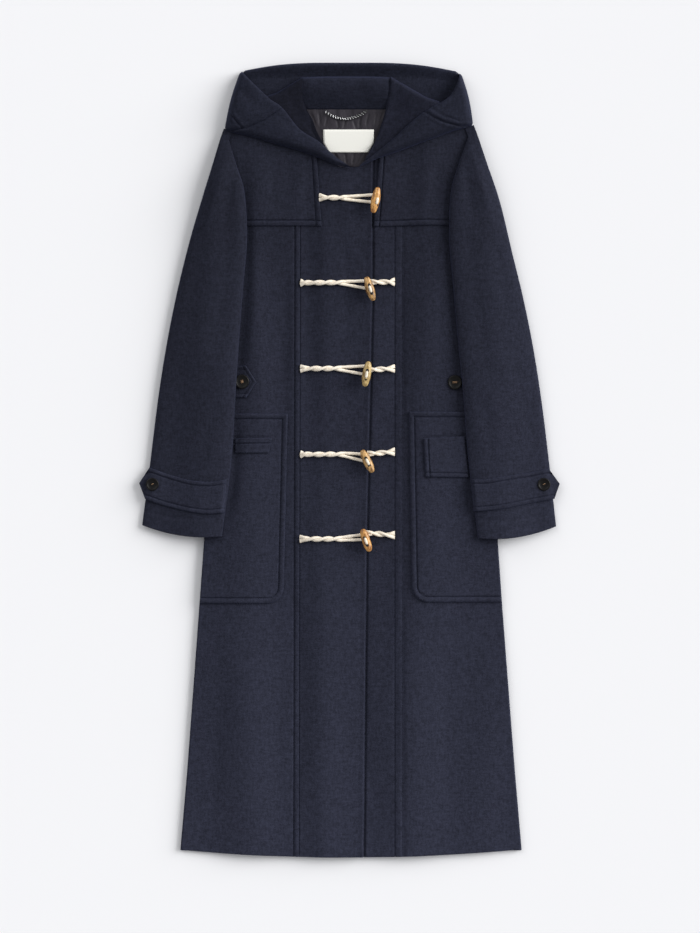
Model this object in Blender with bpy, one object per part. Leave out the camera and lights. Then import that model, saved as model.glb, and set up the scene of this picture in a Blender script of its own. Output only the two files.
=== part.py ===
"""Duffle coat laid flat on its back, hood spread round the neck, toggles done up.

Frame: +X across the coat, +Y from hem to hood, +Z up off the surface it lies on.
Tables are in millimetres; MM turns them into metres.
"""
import math

import bmesh
import bpy
from mathutils import Vector

MM = 0.001

# ---- driving dimensions (millimetres) ----
CLOTH = 2.5            # melton cloth, one layer
SEAM = 0.3             # air between pieces at a seam
LIFT = 0.5             # air under a piece laid on a panel
LINING = 1.5           # quilted neck lining
LABEL_THICK = 0.8
HEM_SIDE = -624.0      # hem line at the side seams
HEM_MID = -635.0       # hem line at the centre front
HEM_BLEND = -500.0     # the hem curve starts here
TOP_BLEND = 400.0      # the shoulder slope starts here
NECK_Y = 560.0         # back neck seam
NECK_HALF = 73.0       # half width of the back neck seam
SHOULDER_DROP_L = 0.296  # fall of the left shoulder line per millimetre outward
SHOULDER_DROP_R = 0.240  # and of the right one
HOOD_HALF = 196.0      # half width of the hood behind the shoulders
HOOD_DEEP = 160.0      # how far the hood hangs below its widest line
HOOD_WIDE_Y = 530.0    # its widest line
HOOD_FADE = 0.42       # share of its size over which the back comes down to the floor
WAVE = 1.5             # soft crown of the front panels
WAVE_PITCH = 160.0     # its spacing across the coat
TUBE_HEIGHT = 8.0      # a sleeve lying flat, outside to outside
SLEEVE_RAMP = 70.0     # a sleeve climbs onto the body over this width
PILE_BASE = 16.5       # top of the hood folds at their rims
PILE_RISE = 13.0       # crown of the hood folds above that
ON_HOOD = CLOTH + SEAM + 0.1  # height of what lies on the back of the hood
TOGGLE_RADIUS = 6.8
TOGGLE_FLAT = 0.86     # height of a toggle to its width
CORD_RADIUS = 2.1
CHAIN_RADIUS = 1.6
WAIST_BUTTON_RADIUS = 11.5
CUFF_BUTTON_RADIUS = 10.3
BUTTON_THICK = 3.4
BUTTON_AIR = 0.35      # air under a button

# ---- body lines: (y, x) from hem to shoulder ----
SIDE_L = ((-635, -269), (-500, -258), (-227, -239), (77, -218), (371, -209), (560, -196))
SEAM_L = ((-635, -79), (-128, -78), (371, -77), (560, -77))
LAP_EDGE = ((-635, -27), (560, -27))
FRONT_EDGE = ((-635, 23), (-128, 28), (256, 37), (560, 38))
SEAM_R = ((-635, 74), (560, 74))
SIDE_R = ((-635, 277), (-500, 266), (-227, 246), (77, 226), (371, 214), (560, 197))
# front neckline: (x, y) from the left neck point round to the right one
NECKLINE = ((-73, 560), (-62, 528), (-46, 496), (-14, 468), (22, 468), (47, 515), (60, 545), (73, 560))
# number of strips between the body lines, and the row heights
STRIPS = (6, 5, 4, 4, 6)
ROWS = (-635, -590, -500, -380, -240, -100, 40, 160, 240, 280, 310, 340, 370, 400, 440, 480, 520, 560)

# ---- sleeves: outer edge and inner edge, shoulder to cuff ----
SLEEVE_L = (((-202, 522), (-193, 518)), ((-217, 472), (-179, 471)), ((-232, 424), (-166, 428)),
            ((-255, 346), (-162, 354)), ((-276, 260), (-168, 280)), ((-292, 178), (-174, 200)),
            ((-305, 94), (-180, 106)), ((-318, -11), (-187, -2)), ((-330, -104), (-202, -122)))
SLEEVE_R = (((203, 528), (194, 523)), ((221, 474), (175, 470)), ((242, 412), (163, 424)),
            ((262, 330), (161, 352)), ((280, 256), (167, 280)), ((296, 176), (174, 200)),
            ((309, 92), (183, 106)), ((322, -14), (192, -4)), ((332, -106), (207, -125)))
CUFF_BOW = 8.0
SLEEVE_STATIONS = 13
SLEEVE_RING = 18
# height of what a sleeve lies on above the floor: (y, z)
COVER = ((-200, 10.4), (165, 10.4), (200, 7.9), (340, 7.6), (374, 9.5), (560, 9.4))
BUTTON_BUMP = 4.6
BUTTON_BUMP_WIDTH = 60.0

# ---- hood folds: rims from the side of the hood to the centre front ----
WING_LOW_L = ((-198, 525), (-158, 517), (-122, 506), (-86, 496), (-49, 483), (-20, 471), (4, 467))
WING_FREE_L = ((-173, 621), (-128, 578), (-106, 562), (-78, 528), (-46, 507), (-22, 485), (-2, 471))
WING_LOW_R = ((199, 533), (170, 526), (140, 515), (107, 503), (75, 491), (46, 481), (16, 467))
WING_FREE_R = ((180, 618), (162, 581), (121, 555), (99, 538), (72, 513), (45, 491), (22, 474))
THROAT_FREE_L = ((-128, 579), (-112, 567), (-100, 556), (-90, 543), (-78, 529), (-62, 518))
THROAT_NECK_L = ((-74, 612), (-74, 592), (-74, 573), (-72, 556), (-64, 538), (-54, 524))
THROAT_FREE_R = ((140, 571), (121, 556), (110, 547), (99, 539), (72, 514), (45, 492))
THROAT_NECK_R = ((69, 612), (69, 585), (68.8, 562), (58, 545), (46, 520), (37, 499))

# ---- trims ----
# toggles: (x, y, lean in degrees, length)
TOGGLES = ((43, 414, -11, 42), (34, 273, 17, 40), (29, 137, -9, 41), (30, -2, 26, 40), (28, -128, 18, 38))
# where each loop is sewn on: (x, y)
LOOP_START = ((-45, 419), (-77, 282), (-78, 146), (-78, 9), (-79, -125))
# height up the coat of the cord sewn to the under front; the first toggle's is out of sight
CORD_START_Y = (None, 285, 146, 13, -120)
CORD_END = 73.0
LOOP_SPREAD = 6.2      # half the width of a loop where it goes round the toggle
LOOP_PART = 0.5        # share of a loop where its strands part
CHAIN_ENDS = (-37.0, 29.0)
CHAIN_Y = 555.0
CHAIN_SAG = 10.0

# ---- yokes, pockets, tabs ----
YOKE_LOW = 374.0
YOKE_INNER_L = (-43.0, -48.0)   # inner edge, low and high
YOKE_INNER_R = (40.5, 47.0)
YOKE_NARROW = 0.98              # outer edge as a share of the side seam's x
# inner edges of the pockets: (y, x), bottom to top
POCKET_EDGE_L = ((-229, -104), (74, -97))
POCKET_EDGE_R = ((-227, 101.5), (77, 96.5))
POCKET_CORNER = 26.0
ON_POCKET = CLOTH + 0.4         # from a pocket's underside to what is sewn on it
ON_POCKET_THICK = 2.0
# welt rows: (y, outer x, inner x)
WELT = ((11.5, -181, -127.0), (34.5, -181, -122.5))
# flap rows: (inner y, outer y, inner x, outer x)
FLAP = ((-27.0, -28.0, 123.0, 192.0), (34.0, 38.0, 120.0, 185.0))
TAB_Y = (99.5, 150.5)
TAB_END = -204.0
TAB_TIP = -147.0
TAB_BACK = 16.5                 # its corners lie this far behind the tip
WAIST_BUTTON_L = (-170.0, 125.0)
WAIST_BUTTON_R = (170.0, 124.0)
STRAP_HIGH_L = ((-318, -12), (-296, -20), (-274, -27), (-250, -33), (-220, -35), (-197, -31))
STRAP_LOW_L = ((-325, -62), (-300, -71), (-274, -78), (-250, -83), (-225, -86), (-201, -84))
STRAP_HIGH_R = ((320, -14), (296, -19), (270, -23), (244, -27), (220, -31), (198, -31))
STRAP_LOW_R = ((329, -62), (300, -67), (275, -72), (250, -77), (225, -80), (203, -82))
STRAP_POINT = 13.0
CUFF_BUTTON_L = (-313.0, -39.0)
CUFF_BUTTON_R = (312.0, -39.0)

# ---- neck inside ----
LINING_ROWS = (470.0, 482.0, 495.0, 510.0, 526.0, 543.0, 559.6)
LINING_EDGE_L = ((468, -8), (496, -41), (528, -58), (560, -70))
LINING_EDGE_R = ((468, 17), (515, 43), (545, 56), (560, 64))
# label rows: (y, half width)
LABEL_ROWS = ((492.0, 29.0), (504.0, 38.0), (528.0, 40.0))
# roll of cloth above the neck seam: (y, height)
ROLL = ((560.4, 8.0), (568, 11.0), (580, 17.0), (592, 21.6), (601, 23.0), (607.5, 21.0), (612, 14.0))
ROLL_X = (-72.6, 67.7)
# hood lying open behind: row heights up the coat
HOOD_ROWS = (372, 378, 390, 410, 440, 480, 520, 550, 580, 600, 618, 626, 635)
HOOD_NARROWING = 21.0           # each side comes in this much towards the top
HOOD_DROOP = 12.0               # the top line falls this much towards the sides
HOOD_RIM_RISE = 12.0            # its upper rim stands off the floor


def clamp(value):
    return min(1.0, max(0.0, value))


def ease(value):
    value = clamp(value)
    return value * value * (3.0 - 2.0 * value)


def along(table, key):
    """Straight-line value at key in rows of (key, value)."""
    for (k0, v0), (k1, v1) in zip(table, table[1:]):
        if key <= k1:
            return v0 + (v1 - v0) * clamp((key - k0) / (k1 - k0))
    return table[-1][1]


def curve_point(rows, share):
    """Smooth point at share 0..1 along evenly spaced rows of coordinates."""
    place = clamp(share) * (len(rows) - 1)
    i = min(int(place), len(rows) - 2)
    t = place - i
    before, after = rows[max(i - 1, 0)], rows[min(i + 2, len(rows) - 1)]
    values = []
    for a, b, c, d in zip(before, rows[i], rows[i + 1], after):
        values.append(b + 0.5 * t * (c - a + t * (2 * a - 5 * b + 4 * c - d + t * (3 * (b - c) + d - a))))
    return values


# ---- heights ----
def hood_reach(x, y):
    down = max(0.0, HOOD_WIDE_Y - y) / HOOD_DEEP
    return (abs(x / HOOD_HALF) ** 2.5 + down ** 2.5) ** 0.4


def base(x, y):
    """Height of the coat above the floor where the hood lies under it."""
    return (CLOTH + SEAM + 0.2) * (1.0 - ease((hood_reach(x, y) - 1.0) / HOOD_FADE))


def wave(x, y):
    fade = 1.0 - 0.75 * ease((y - 200.0) / 200.0)
    return WAVE * fade * math.sin(math.pi * (x + 0.5 * WAVE_PITCH) / WAVE_PITCH) ** 2


def front_low(x, y):
    return base(x, y) + CLOTH + SEAM + wave(x, y)


def lap(x):
    return (CLOTH + SEAM) * ease((x + 70.0) / 33.0)


def lapped_low(x, y):
    return front_low(x, y) + lap(x)


def front_top(x, y):
    """Top of whichever front panel is uppermost at x, y."""
    upper = lap(x) if x < along(FRONT_EDGE, y) + 6.0 else 0.0
    return front_low(x, y) + upper + CLOTH


def shoulder(x):
    drop = SHOULDER_DROP_L if x < 0 else SHOULDER_DROP_R
    return NECK_Y - drop * max(0.0, abs(x) - NECK_HALF)


def front_rim(x):
    return along(NECKLINE, x) if abs(x) < NECK_HALF else shoulder(x)


def body_point(x, row, rim):
    """Row line bent to the hem below and to the rim above."""
    y = row
    if row > TOP_BLEND:
        y = TOP_BLEND + (row - TOP_BLEND) * (rim(x) - TOP_BLEND) / (NECK_Y - TOP_BLEND)
    if row < HEM_BLEND:
        hem = HEM_MID + (HEM_SIDE - HEM_MID) * clamp(abs(x) / 260.0) ** 2
        y = HEM_BLEND + (row - HEM_BLEND) * (hem - HEM_BLEND) / (HEM_MID - HEM_BLEND)
    return x, y


# ---- builders ----
def material(name, colour, rough, metal=0.0):
    made = bpy.data.materials.new(name)
    made.use_nodes = True
    shader = made.node_tree.nodes["Principled BSDF"]
    shader.inputs["Base Color"].default_value = (*colour, 1.0)
    shader.inputs["Roughness"].default_value = rough
    shader.inputs["Metallic"].default_value = metal
    return made


def finish(name, bm, mat):
    """Turn a bmesh in millimetres into one object of the coat in metres."""
    bmesh.ops.scale(bm, vec=Vector((MM, MM, MM)), verts=bm.verts)
    bmesh.ops.triangulate(bm, faces=bm.faces)
    bmesh.ops.recalc_face_normals(bm, faces=bm.faces)
    mesh = bpy.data.meshes.new(name)
    bm.to_mesh(mesh)
    bm.free()
    mesh.materials.append(mat)
    thing = bpy.data.objects.new(name, mesh)
    coat.objects.link(thing)
    return thing


def slab(name, mat, plan, low, high):
    """Closed piece over a grid of plan points between two height functions."""
    bm = bmesh.new()
    under = [[bm.verts.new((x, y, low(x, y))) for x, y in row] for row in plan]
    over = [[bm.verts.new((x, y, high(x, y))) for x, y in row] for row in plan]
    rows, cols = len(plan), len(plan[0])
    for i in range(rows - 1):
        for j in range(cols - 1):
            for grid in (under, over):
                a, b = grid[i][j], grid[i][j + 1]
                c, d = grid[i + 1][j + 1], grid[i + 1][j]
                bm.faces.new((a, b, c))
                bm.faces.new((a, c, d))
    rim = [(0, j) for j in range(cols)] + [(i, cols - 1) for i in range(1, rows)]
    rim += [(rows - 1, j) for j in range(cols - 2, -1, -1)] + [(i, 0) for i in range(rows - 2, 0, -1)]
    for (i, j), (k, m) in zip(rim, rim[1:] + rim[:1]):
        bm.faces.new((under[i][j], under[k][m], over[k][m], over[i][j]))
    return finish(name, bm, mat)


def plate(name, mat, plan, low, thick=CLOTH):
    return slab(name, mat, plan, low, lambda x, y: low(x, y) + thick)


def patch(low_rim, high_rim, lengthwise, across):
    """Plan points between two rims, from 0 to 1 both ways."""
    plan = []
    for v in across:
        row = []
        for u in lengthwise:
            a, b = curve_point(low_rim, u), curve_point(high_rim, u)
            row.append((a[0] + (b[0] - a[0]) * v, a[1] + (b[1] - a[1]) * v))
        plan.append(row)
    return plan


def shares(count):
    return [i / count for i in range(count + 1)]


def tube(name, mat, path, radius):
    """Round cord along a path given in millimetres."""
    line = bpy.data.curves.new(name, "CURVE")
    line.dimensions = "3D"
    line.bevel_depth = radius * MM
    line.bevel_resolution = 2
    line.use_fill_caps = True
    spline = line.splines.new("POLY")
    spline.points.add(len(path) - 1)
    for point, place in zip(spline.points, path):
        point.co = (place[0] * MM, place[1] * MM, place[2] * MM, 1.0)
    holder = bpy.data.objects.new(name + "_line", line)
    bpy.context.scene.collection.objects.link(holder)
    mesh = bpy.data.meshes.new_from_object(holder)
    bpy.data.objects.remove(holder)
    bm = bmesh.new()
    bm.from_mesh(mesh)
    bmesh.ops.remove_doubles(bm, verts=bm.verts, dist=0.00005)
    bmesh.ops.scale(bm, vec=Vector((1 / MM, 1 / MM, 1 / MM)), verts=bm.verts)
    return finish(name, bm, mat)


def turned(name, mat, profile, centre, lean, flat):
    """Solid of revolution about the coat's length, leaned in plan and flattened in height."""
    bm = bmesh.new()
    count = 14
    rings = []
    for reach, radius in profile:
        ring = []
        for k in range(count):
            angle = 2 * math.pi * k / count
            ring.append(bm.verts.new((radius * math.cos(angle), reach, flat * radius * math.sin(angle))))
        rings.append(ring)
    for first, second in zip(rings, rings[1:]):
        for k in range(count):
            bm.faces.new((first[k], first[(k + 1) % count], second[(k + 1) % count], second[k]))
    bm.faces.new(rings[0])
    bm.faces.new(rings[-1])
    turn = math.radians(lean)
    for vert in bm.verts:
        x, y = vert.co.x, vert.co.y
        vert.co.x = centre[0] + x * math.cos(turn) - y * math.sin(turn)
        vert.co.y = centre[1] + x * math.sin(turn) + y * math.cos(turn)
        vert.co.z += centre[2]
    return finish(name, bm, mat)


def button(name, mat, x, y, floor, radius):
    bm = bmesh.new()
    spec = ((0.0, 0.9), (0.25, 1.0), (0.75, 1.0), (1.0, 0.88))
    count = 20
    rings = []
    for share, size in spec:
        ring = []
        for k in range(count):
            angle = 2 * math.pi * k / count
            reach = radius * size
            height = floor + share * BUTTON_THICK
            ring.append(bm.verts.new((x + reach * math.cos(angle), y + reach * math.sin(angle), height)))
        rings.append(ring)
    for first, second in zip(rings, rings[1:]):
        for k in range(count):
            bm.faces.new((first[k], first[(k + 1) % count], second[(k + 1) % count], second[k]))
    bm.faces.new(rings[0])
    bm.faces.new(rings[-1])
    return finish(name, bm, mat)


# ---- body ----
def body_columns():
    """Share positions of every column between the six body lines."""
    lines = (SIDE_L, SEAM_L, LAP_EDGE, FRONT_EDGE, SEAM_R, SIDE_R)
    columns = []
    for k, count in enumerate(STRIPS):
        for i in range(count):
            columns.append((lines[k], lines[k + 1], i / count))
    columns.append((lines[-2], lines[-1], 1.0))
    return columns


def body_plan(first, last, rim, trim_left=0.0, trim_right=0.0):
    plan = []
    columns = body_columns()[first:last + 1]
    for row in ROWS:
        line = []
        for k, (left, right, share) in enumerate(columns):
            x = along(left, row) + (along(right, row) - along(left, row)) * share
            if k == 0:
                x += trim_left
            if k == len(columns) - 1:
                x -= trim_right
            line.append(body_point(x, row, rim))
        plan.append(line)
    return plan


def build_body():
    a, b, c, d = STRIPS[0], sum(STRIPS[:2]), sum(STRIPS[:3]), sum(STRIPS[:4])
    end = sum(STRIPS)
    half = 0.5 * SEAM
    plate("back", navy, body_plan(0, end, shoulder), base)
    plate("side_front_l", navy, body_plan(0, a, front_rim, 1.0, half), front_low)
    plate("centre_front_l", navy, body_plan(a, c, front_rim, half, 0.0), lapped_low)
    plate("centre_front_r", navy, body_plan(b, d, front_rim, 0.0, half), front_low)
    plate("side_front_r", navy, body_plan(d, end, front_rim, half, 1.0), front_low)


def on_front(x, y):
    """Underside of a piece sewn on the front panels."""
    return front_top(x, y) + LIFT


def yoke_plan(side, inner_ends):
    """Rows from the yoke's lower edge up to the shoulder and neckline."""
    plan = []
    for v in shares(8):
        row = YOKE_LOW + (NECK_Y - YOKE_LOW) * v
        outer = along(side, row) * YOKE_NARROW
        inner = inner_ends[0] + (inner_ends[1] - inner_ends[0]) * v
        line = []
        for u in shares(10):
            x = outer + (inner - outer) * u
            rim = front_rim(x) - LIFT
            line.append((x, YOKE_LOW + (rim - YOKE_LOW) * v))
        plan.append(line)
    return plan


def build_yokes():
    plate("yoke_l", navy, yoke_plan(SIDE_L, YOKE_INNER_L), on_front)
    plate("yoke_r", navy, yoke_plan(SIDE_R, YOKE_INNER_R), on_front)


# ---- pockets and tabs ----
def pocket_plan(side, edge, trim):
    """Patch pocket from its hidden outer edge to its inner one, the inner lower corner rounded."""
    plan = []
    bottom, top = edge[0][0], edge[-1][0]
    sign = 1.0 if side[0][1] < 0 else -1.0
    for v in (0.0, 0.02, 0.045, 0.075, 0.2, 0.35, 0.5, 0.65, 0.8, 0.92, 1.0):
        y = bottom + (top - bottom) * v
        outer, inner = along(side, y) + sign * trim, along(edge, y)
        rise = y - bottom
        if rise < POCKET_CORNER:
            inner -= sign * (POCKET_CORNER - math.sqrt(POCKET_CORNER ** 2 - (POCKET_CORNER - rise) ** 2))
        plan.append([(outer + (inner - outer) * u, y) for u in shares(8)])
    return plan


def on_pocket(x, y):
    return on_front(x, y) + ON_POCKET


def welt_plan():
    (y0, outer0, inner0), (y1, outer1, inner1) = WELT
    plan = []
    for v in shares(3):
        outer, inner = outer0 + (outer1 - outer0) * v, inner0 + (inner1 - inner0) * v
        plan.append([(outer + (inner - outer) * u, y0 + (y1 - y0) * v) for u in shares(5)])
    return plan


def flap_plan():
    plan = []
    for v in shares(4):
        y_in, y_out, x_in, x_out = (a + (b - a) * v for a, b in zip(*FLAP))
        plan.append([(x_in + (x_out - x_in) * u, y_in + (y_out - y_in) * u) for u in shares(5)])
    return plan


def build_pockets():
    plate("pocket_l", navy, pocket_plan(SIDE_L, POCKET_EDGE_L, 1.5), on_front)
    plate("pocket_r", navy, pocket_plan(SIDE_R, POCKET_EDGE_R, 1.5), on_front)
    plate("pocket_welt_l", navy, welt_plan(), on_pocket, ON_POCKET_THICK)
    plate("pocket_flap_r", navy, flap_plan(), on_pocket, ON_POCKET_THICK)


def button_seat(low, place, reach):
    """Height that clears everything under a button."""
    return max(low(place[0] + dx, place[1]) for dx in (-reach, 0.0, reach)) + BUTTON_AIR


def build_waist():
    tab = []
    for v in shares(4):
        tip = TAB_TIP - TAB_BACK * abs(2.0 * v - 1.0)
        y = TAB_Y[0] + (TAB_Y[1] - TAB_Y[0]) * v
        tab.append([(TAB_END + (tip - TAB_END) * u, y) for u in shares(5)])
    plate("waist_tab_l", navy, tab, on_front)
    seat = button_seat(on_front, WAIST_BUTTON_L, 10.0) + CLOTH
    button("waist_button_l", horn, *WAIST_BUTTON_L, seat, WAIST_BUTTON_RADIUS)
    seat = button_seat(front_top, WAIST_BUTTON_R, 10.0)
    button("waist_button_r", horn, *WAIST_BUTTON_R, seat, WAIST_BUTTON_RADIUS)


# ---- sleeves ----
def cover(x, y):
    """Underside of a sleeve: the floor outside the body, what lies there inside it."""
    outside = along(SIDE_L, y) - x if x < 0 else x - along(SIDE_R, y)
    height = along(COVER, y) + base(x, y)
    if x < 0:
        away = ((x - WAIST_BUTTON_L[0]) ** 2 + (y - WAIST_BUTTON_L[1]) ** 2) / BUTTON_BUMP_WIDTH ** 2
        height += BUTTON_BUMP * math.exp(-away)
    return height * (1.0 - ease((outside - 1.5) / SLEEVE_RAMP))


def sleeve_station(rows, share):
    flat = [(*outer, *inner) for outer, inner in rows]
    ox, oy, ix, iy = curve_point(flat, share)
    return Vector((ox, oy)), Vector((ix, iy))


def build_sleeve(name, rows):
    bm = bmesh.new()
    skins = []
    for inset in (0.0, CLOTH):
        rings = []
        for s in shares(SLEEVE_STATIONS):
            outer, inner = sleeve_station(rows, s)
            middle, reach = (outer + inner) * 0.5, (inner - outer) * 0.5
            half = reach.length
            tall = 0.5 * TUBE_HEIGHT * min(1.0, 0.72 + 2.0 * s)
            ring = []
            for k in range(SLEEVE_RING):
                angle = 2 * math.pi * k / SLEEVE_RING
                side, up = math.cos(angle), math.sin(angle)
                wide = math.copysign(abs(side) ** 0.7, side) * (half - inset)
                high = math.copysign(abs(up) ** 0.45, up) * (tall - inset)
                spot = middle + reach.normalized() * wide
                bow = CUFF_BOW * ease((s - 0.8) / 0.2) * (1.0 - (wide / half) ** 2)
                y = spot.y - bow
                ring.append(bm.verts.new((spot.x, y, cover(spot.x, y) + tall + high)))
            rings.append(ring)
        skins.append(rings)
        for first, second in zip(rings, rings[1:]):
            for k in range(SLEEVE_RING):
                n = (k + 1) % SLEEVE_RING
                bm.faces.new((first[k], first[n], second[n], second[k]))
    for end in (0, -1):
        a, b = skins[0][end], skins[1][end]
        for k in range(SLEEVE_RING):
            n = (k + 1) % SLEEVE_RING
            bm.faces.new((a[k], a[n], b[n], b[k]))
    finish(name, bm, navy)


def on_sleeve(x, y):
    return cover(x, y) + TUBE_HEIGHT + LIFT


def build_cuffs():
    for name, below, above, point in (("cuff_strap_l", STRAP_LOW_L, STRAP_HIGH_L, -STRAP_POINT),
                                      ("cuff_strap_r", STRAP_LOW_R, STRAP_HIGH_R, STRAP_POINT)):
        plan = patch(below, above, shares(9), shares(4))
        for v, row in zip(shares(4), plan):
            x, y = row[0]
            row[0] = (x + point * (1.0 - abs(2.0 * v - 1.0)), y)
        plate(name, navy, plan, on_sleeve)
    for name, place in (("cuff_button_l", CUFF_BUTTON_L), ("cuff_button_r", CUFF_BUTTON_R)):
        seat = button_seat(on_sleeve, place, 9.0) + CLOTH
        button(name, horn, *place, seat, CUFF_BUTTON_RADIUS)


# ---- hood ----
def pile_low(x, y):
    """Underside of the hood folds: over the yokes, then down onto the hood behind."""
    on_yoke = on_front(x, y) + CLOTH + 0.9
    return ON_HOOD + (on_yoke - ON_HOOD) * (1.0 - ease((y - shoulder(x) - 3.0) / 30.0))


def rounded(share, reach):
    """Quarter-round rise from 0 at a rim to 1 at reach."""
    return math.sqrt(clamp(1.0 - (1.0 - min(1.0, share / reach)) ** 2))


def wing_top(plan):
    """Height function of a wing, from its plan points."""
    heights = {}
    last_row, last_col = len(plan) - 1, len(plan[0]) - 1
    for i, row in enumerate(plan):
        v = i / last_row
        across = rounded(v, 0.3) * (1.0 - 0.3 * ease((v - 0.6) / 0.4))
        for j, place in enumerate(row):
            u = j / last_col
            lengthwise = rounded(u, 0.22) * (1.0 - 0.55 * ease((u - 0.5) / 0.5))
            heights[place] = PILE_BASE + PILE_RISE * (0.2 + 0.8 * across) * (0.25 + 0.75 * lengthwise)
    return lambda x, y: heights[(x, y)]


def build_wing(name, below, free):
    plan = patch(below, free, shares(12), (0.0, 0.05, 0.14, 0.3, 0.5, 0.7, 0.88, 1.0))
    slab(name, navy, plan, pile_low, wing_top(plan))


def build_throat(name, free, neck, gap):
    """Inner side of the hood between its free edge and the neck seam."""
    plan = patch(free, neck, shares(9), (0.0, 0.3, 0.65, 1.0))
    moved = [[(x + gap, y) for x, y in row] for row in plan]
    heights = {}
    for i, row in enumerate(moved):
        for j, place in enumerate(row):
            v, u = i / 3.0, j / 9.0
            ridge = 1.0 - ease(u / 0.45)
            heights[place] = PILE_BASE + 6.0 * ridge + 4.5 * (1.0 - v) * (1.0 - ridge) * (1.0 - 0.6 * u)
    slab(name, navy, moved, pile_low, lambda x, y: heights[(x, y)])


def hood_half(row):
    """Half width of the hood lying behind the coat."""
    if row < HOOD_WIDE_Y:
        down = (HOOD_WIDE_Y - row) / HOOD_DEEP
        return (HOOD_HALF - 2.0) * max(0.05, 1.0 - down ** 2.5) ** 0.4
    return HOOD_HALF - 2.0 - HOOD_NARROWING * ((row - HOOD_WIDE_Y) / (HOOD_ROWS[-1] - HOOD_WIDE_Y)) ** 1.5


def hood_back_low(x, y):
    return HOOD_RIM_RISE * ease((y - 618.0) / 17.0) * (1.0 - ease((abs(x) - 95.0) / 40.0))


def build_hood():
    plan = []
    for row in HOOD_ROWS:
        line = []
        for u in shares(14):
            x = hood_half(row) * (2.0 * u - 1.0) + 2.0 * (row > HOOD_WIDE_Y)
            droop = HOOD_DROOP * clamp((abs(x) - 90.0) / 90.0) ** 2 * clamp((row - 590.0) / 45.0)
            line.append((x, row - droop))
        plan.append(line)
    plate("hood_back", navy, plan, hood_back_low)
    build_wing("hood_side_l", WING_LOW_L, WING_FREE_L)
    build_wing("hood_side_r", WING_LOW_R, WING_FREE_R)
    build_throat("hood_throat_l", THROAT_FREE_L, THROAT_NECK_L, 0.6)
    build_throat("hood_throat_r", THROAT_FREE_R, THROAT_NECK_R, -0.6)
    plan = [[(ROLL_X[0] + (ROLL_X[1] - ROLL_X[0]) * u, y) for u in shares(6)] for y, _ in ROLL]
    slab("hood_neck", navy, plan, lambda x, y: ON_HOOD, lambda x, y: along(ROLL, y))


# ---- neck inside ----
def build_neck():
    on_back = base(0.0, NECK_Y) + CLOTH + SEAM
    rows = []
    for y in LINING_ROWS:
        left, right = along(LINING_EDGE_L, y), along(LINING_EDGE_R, y)
        rows.append([(left + (right - left) * u, y) for u in shares(6)])
    plate("back_lining", lining, rows, lambda x, y: on_back, LINING)
    on_lining = on_back + LINING + SEAM
    label = [[(half * (2.0 * u - 1.0), y) for u in shares(4)] for y, half in LABEL_ROWS]
    plate("label", paper, label, lambda x, y: on_lining, LABEL_THICK)
    path = []
    for s in shares(12):
        x = CHAIN_ENDS[0] + (CHAIN_ENDS[1] - CHAIN_ENDS[0]) * s
        y = CHAIN_Y - CHAIN_SAG * (1.0 - (2.0 * s - 1.0) ** 2)
        path.append((x, y, on_lining + CHAIN_RADIUS + 0.2))
    tube("hanger_chain", steel, path, CHAIN_RADIUS)


# ---- toggles ----
def cord_seat(x, y, extra):
    """Centre height of a cord lying on the front at x, y."""
    highest = max(front_top(x + dx, y) for dx in (-9.0, -4.0, 0.0, 4.0, 9.0))
    return highest + extra + CORD_RADIUS + 0.35


def cord_loop(name, start, turn, extra, spread):
    """Two strands from a sewn end, parting, to a half turn of radius spread behind the toggle."""
    gap = CORD_RADIUS + 0.25
    way = 1.0 if turn[0] > start[0] else -1.0
    near = []
    for share in (0.0, 0.25, 0.5, 0.75):
        x, y = start[0] + (turn[0] - start[0]) * share, start[1] + (turn[1] - start[1]) * share
        near.append((x, y, gap + (spread - gap) * clamp((share - LOOP_PART) / (1.0 - LOOP_PART))))
    path = [(x, y + half, cord_seat(x, y, extra)) for x, y, half in near]
    for k in range(7):
        angle = math.radians(90.0 - 30.0 * k)
        x = turn[0] + way * spread * math.cos(angle)
        path.append((x, turn[1] + spread * math.sin(angle), cord_seat(turn[0], turn[1], extra)))
    path += [(x, y - half, cord_seat(x, y, extra)) for x, y, half in reversed(near)]
    tube(name, rope, path, CORD_RADIUS)


def toggle_profile(length):
    """Radius along a turned toggle: (reach, radius)."""
    half = 0.5 * length
    shape = ((1.0, 0.37), (0.94, 0.6), (0.7, 0.82), (0.35, 0.97), (0.0, 1.0))
    near = [(-half * reach, TOGGLE_RADIUS * share) for reach, share in shape]
    return near + [(-reach, radius) for reach, radius in reversed(near[:-1])]


def build_toggles():
    for k, (x, y, lean, length) in enumerate(TOGGLES):
        number = str(k + 1)
        extra = LIFT + CLOTH if k == 0 else 0.0
        turn = (x - 4.0, y + 2.0)
        cord_loop("toggle_loop_" + number, LOOP_START[k], turn, extra, LOOP_SPREAD)
        seats = [cord_seat(turn[0], turn[1], extra)]
        if CORD_START_Y[k] is not None:
            turn = (x + 7.0, y + 10.0)
            start = (CORD_END, CORD_START_Y[k])
            cord_loop("toggle_cord_" + number, start, turn, extra, CORD_RADIUS + 0.25)
            seats.append(cord_seat(turn[0], turn[1], extra))
        top = max(seats) + CORD_RADIUS + 0.3 + TOGGLE_FLAT * TOGGLE_RADIUS
        turned("toggle_" + number, wood, toggle_profile(length), (x, y, top), lean, TOGGLE_FLAT)


for old in list(bpy.data.objects):
    bpy.data.objects.remove(old)
coat = bpy.data.collections.new("duffle_coat")
bpy.context.scene.collection.children.link(coat)

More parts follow.
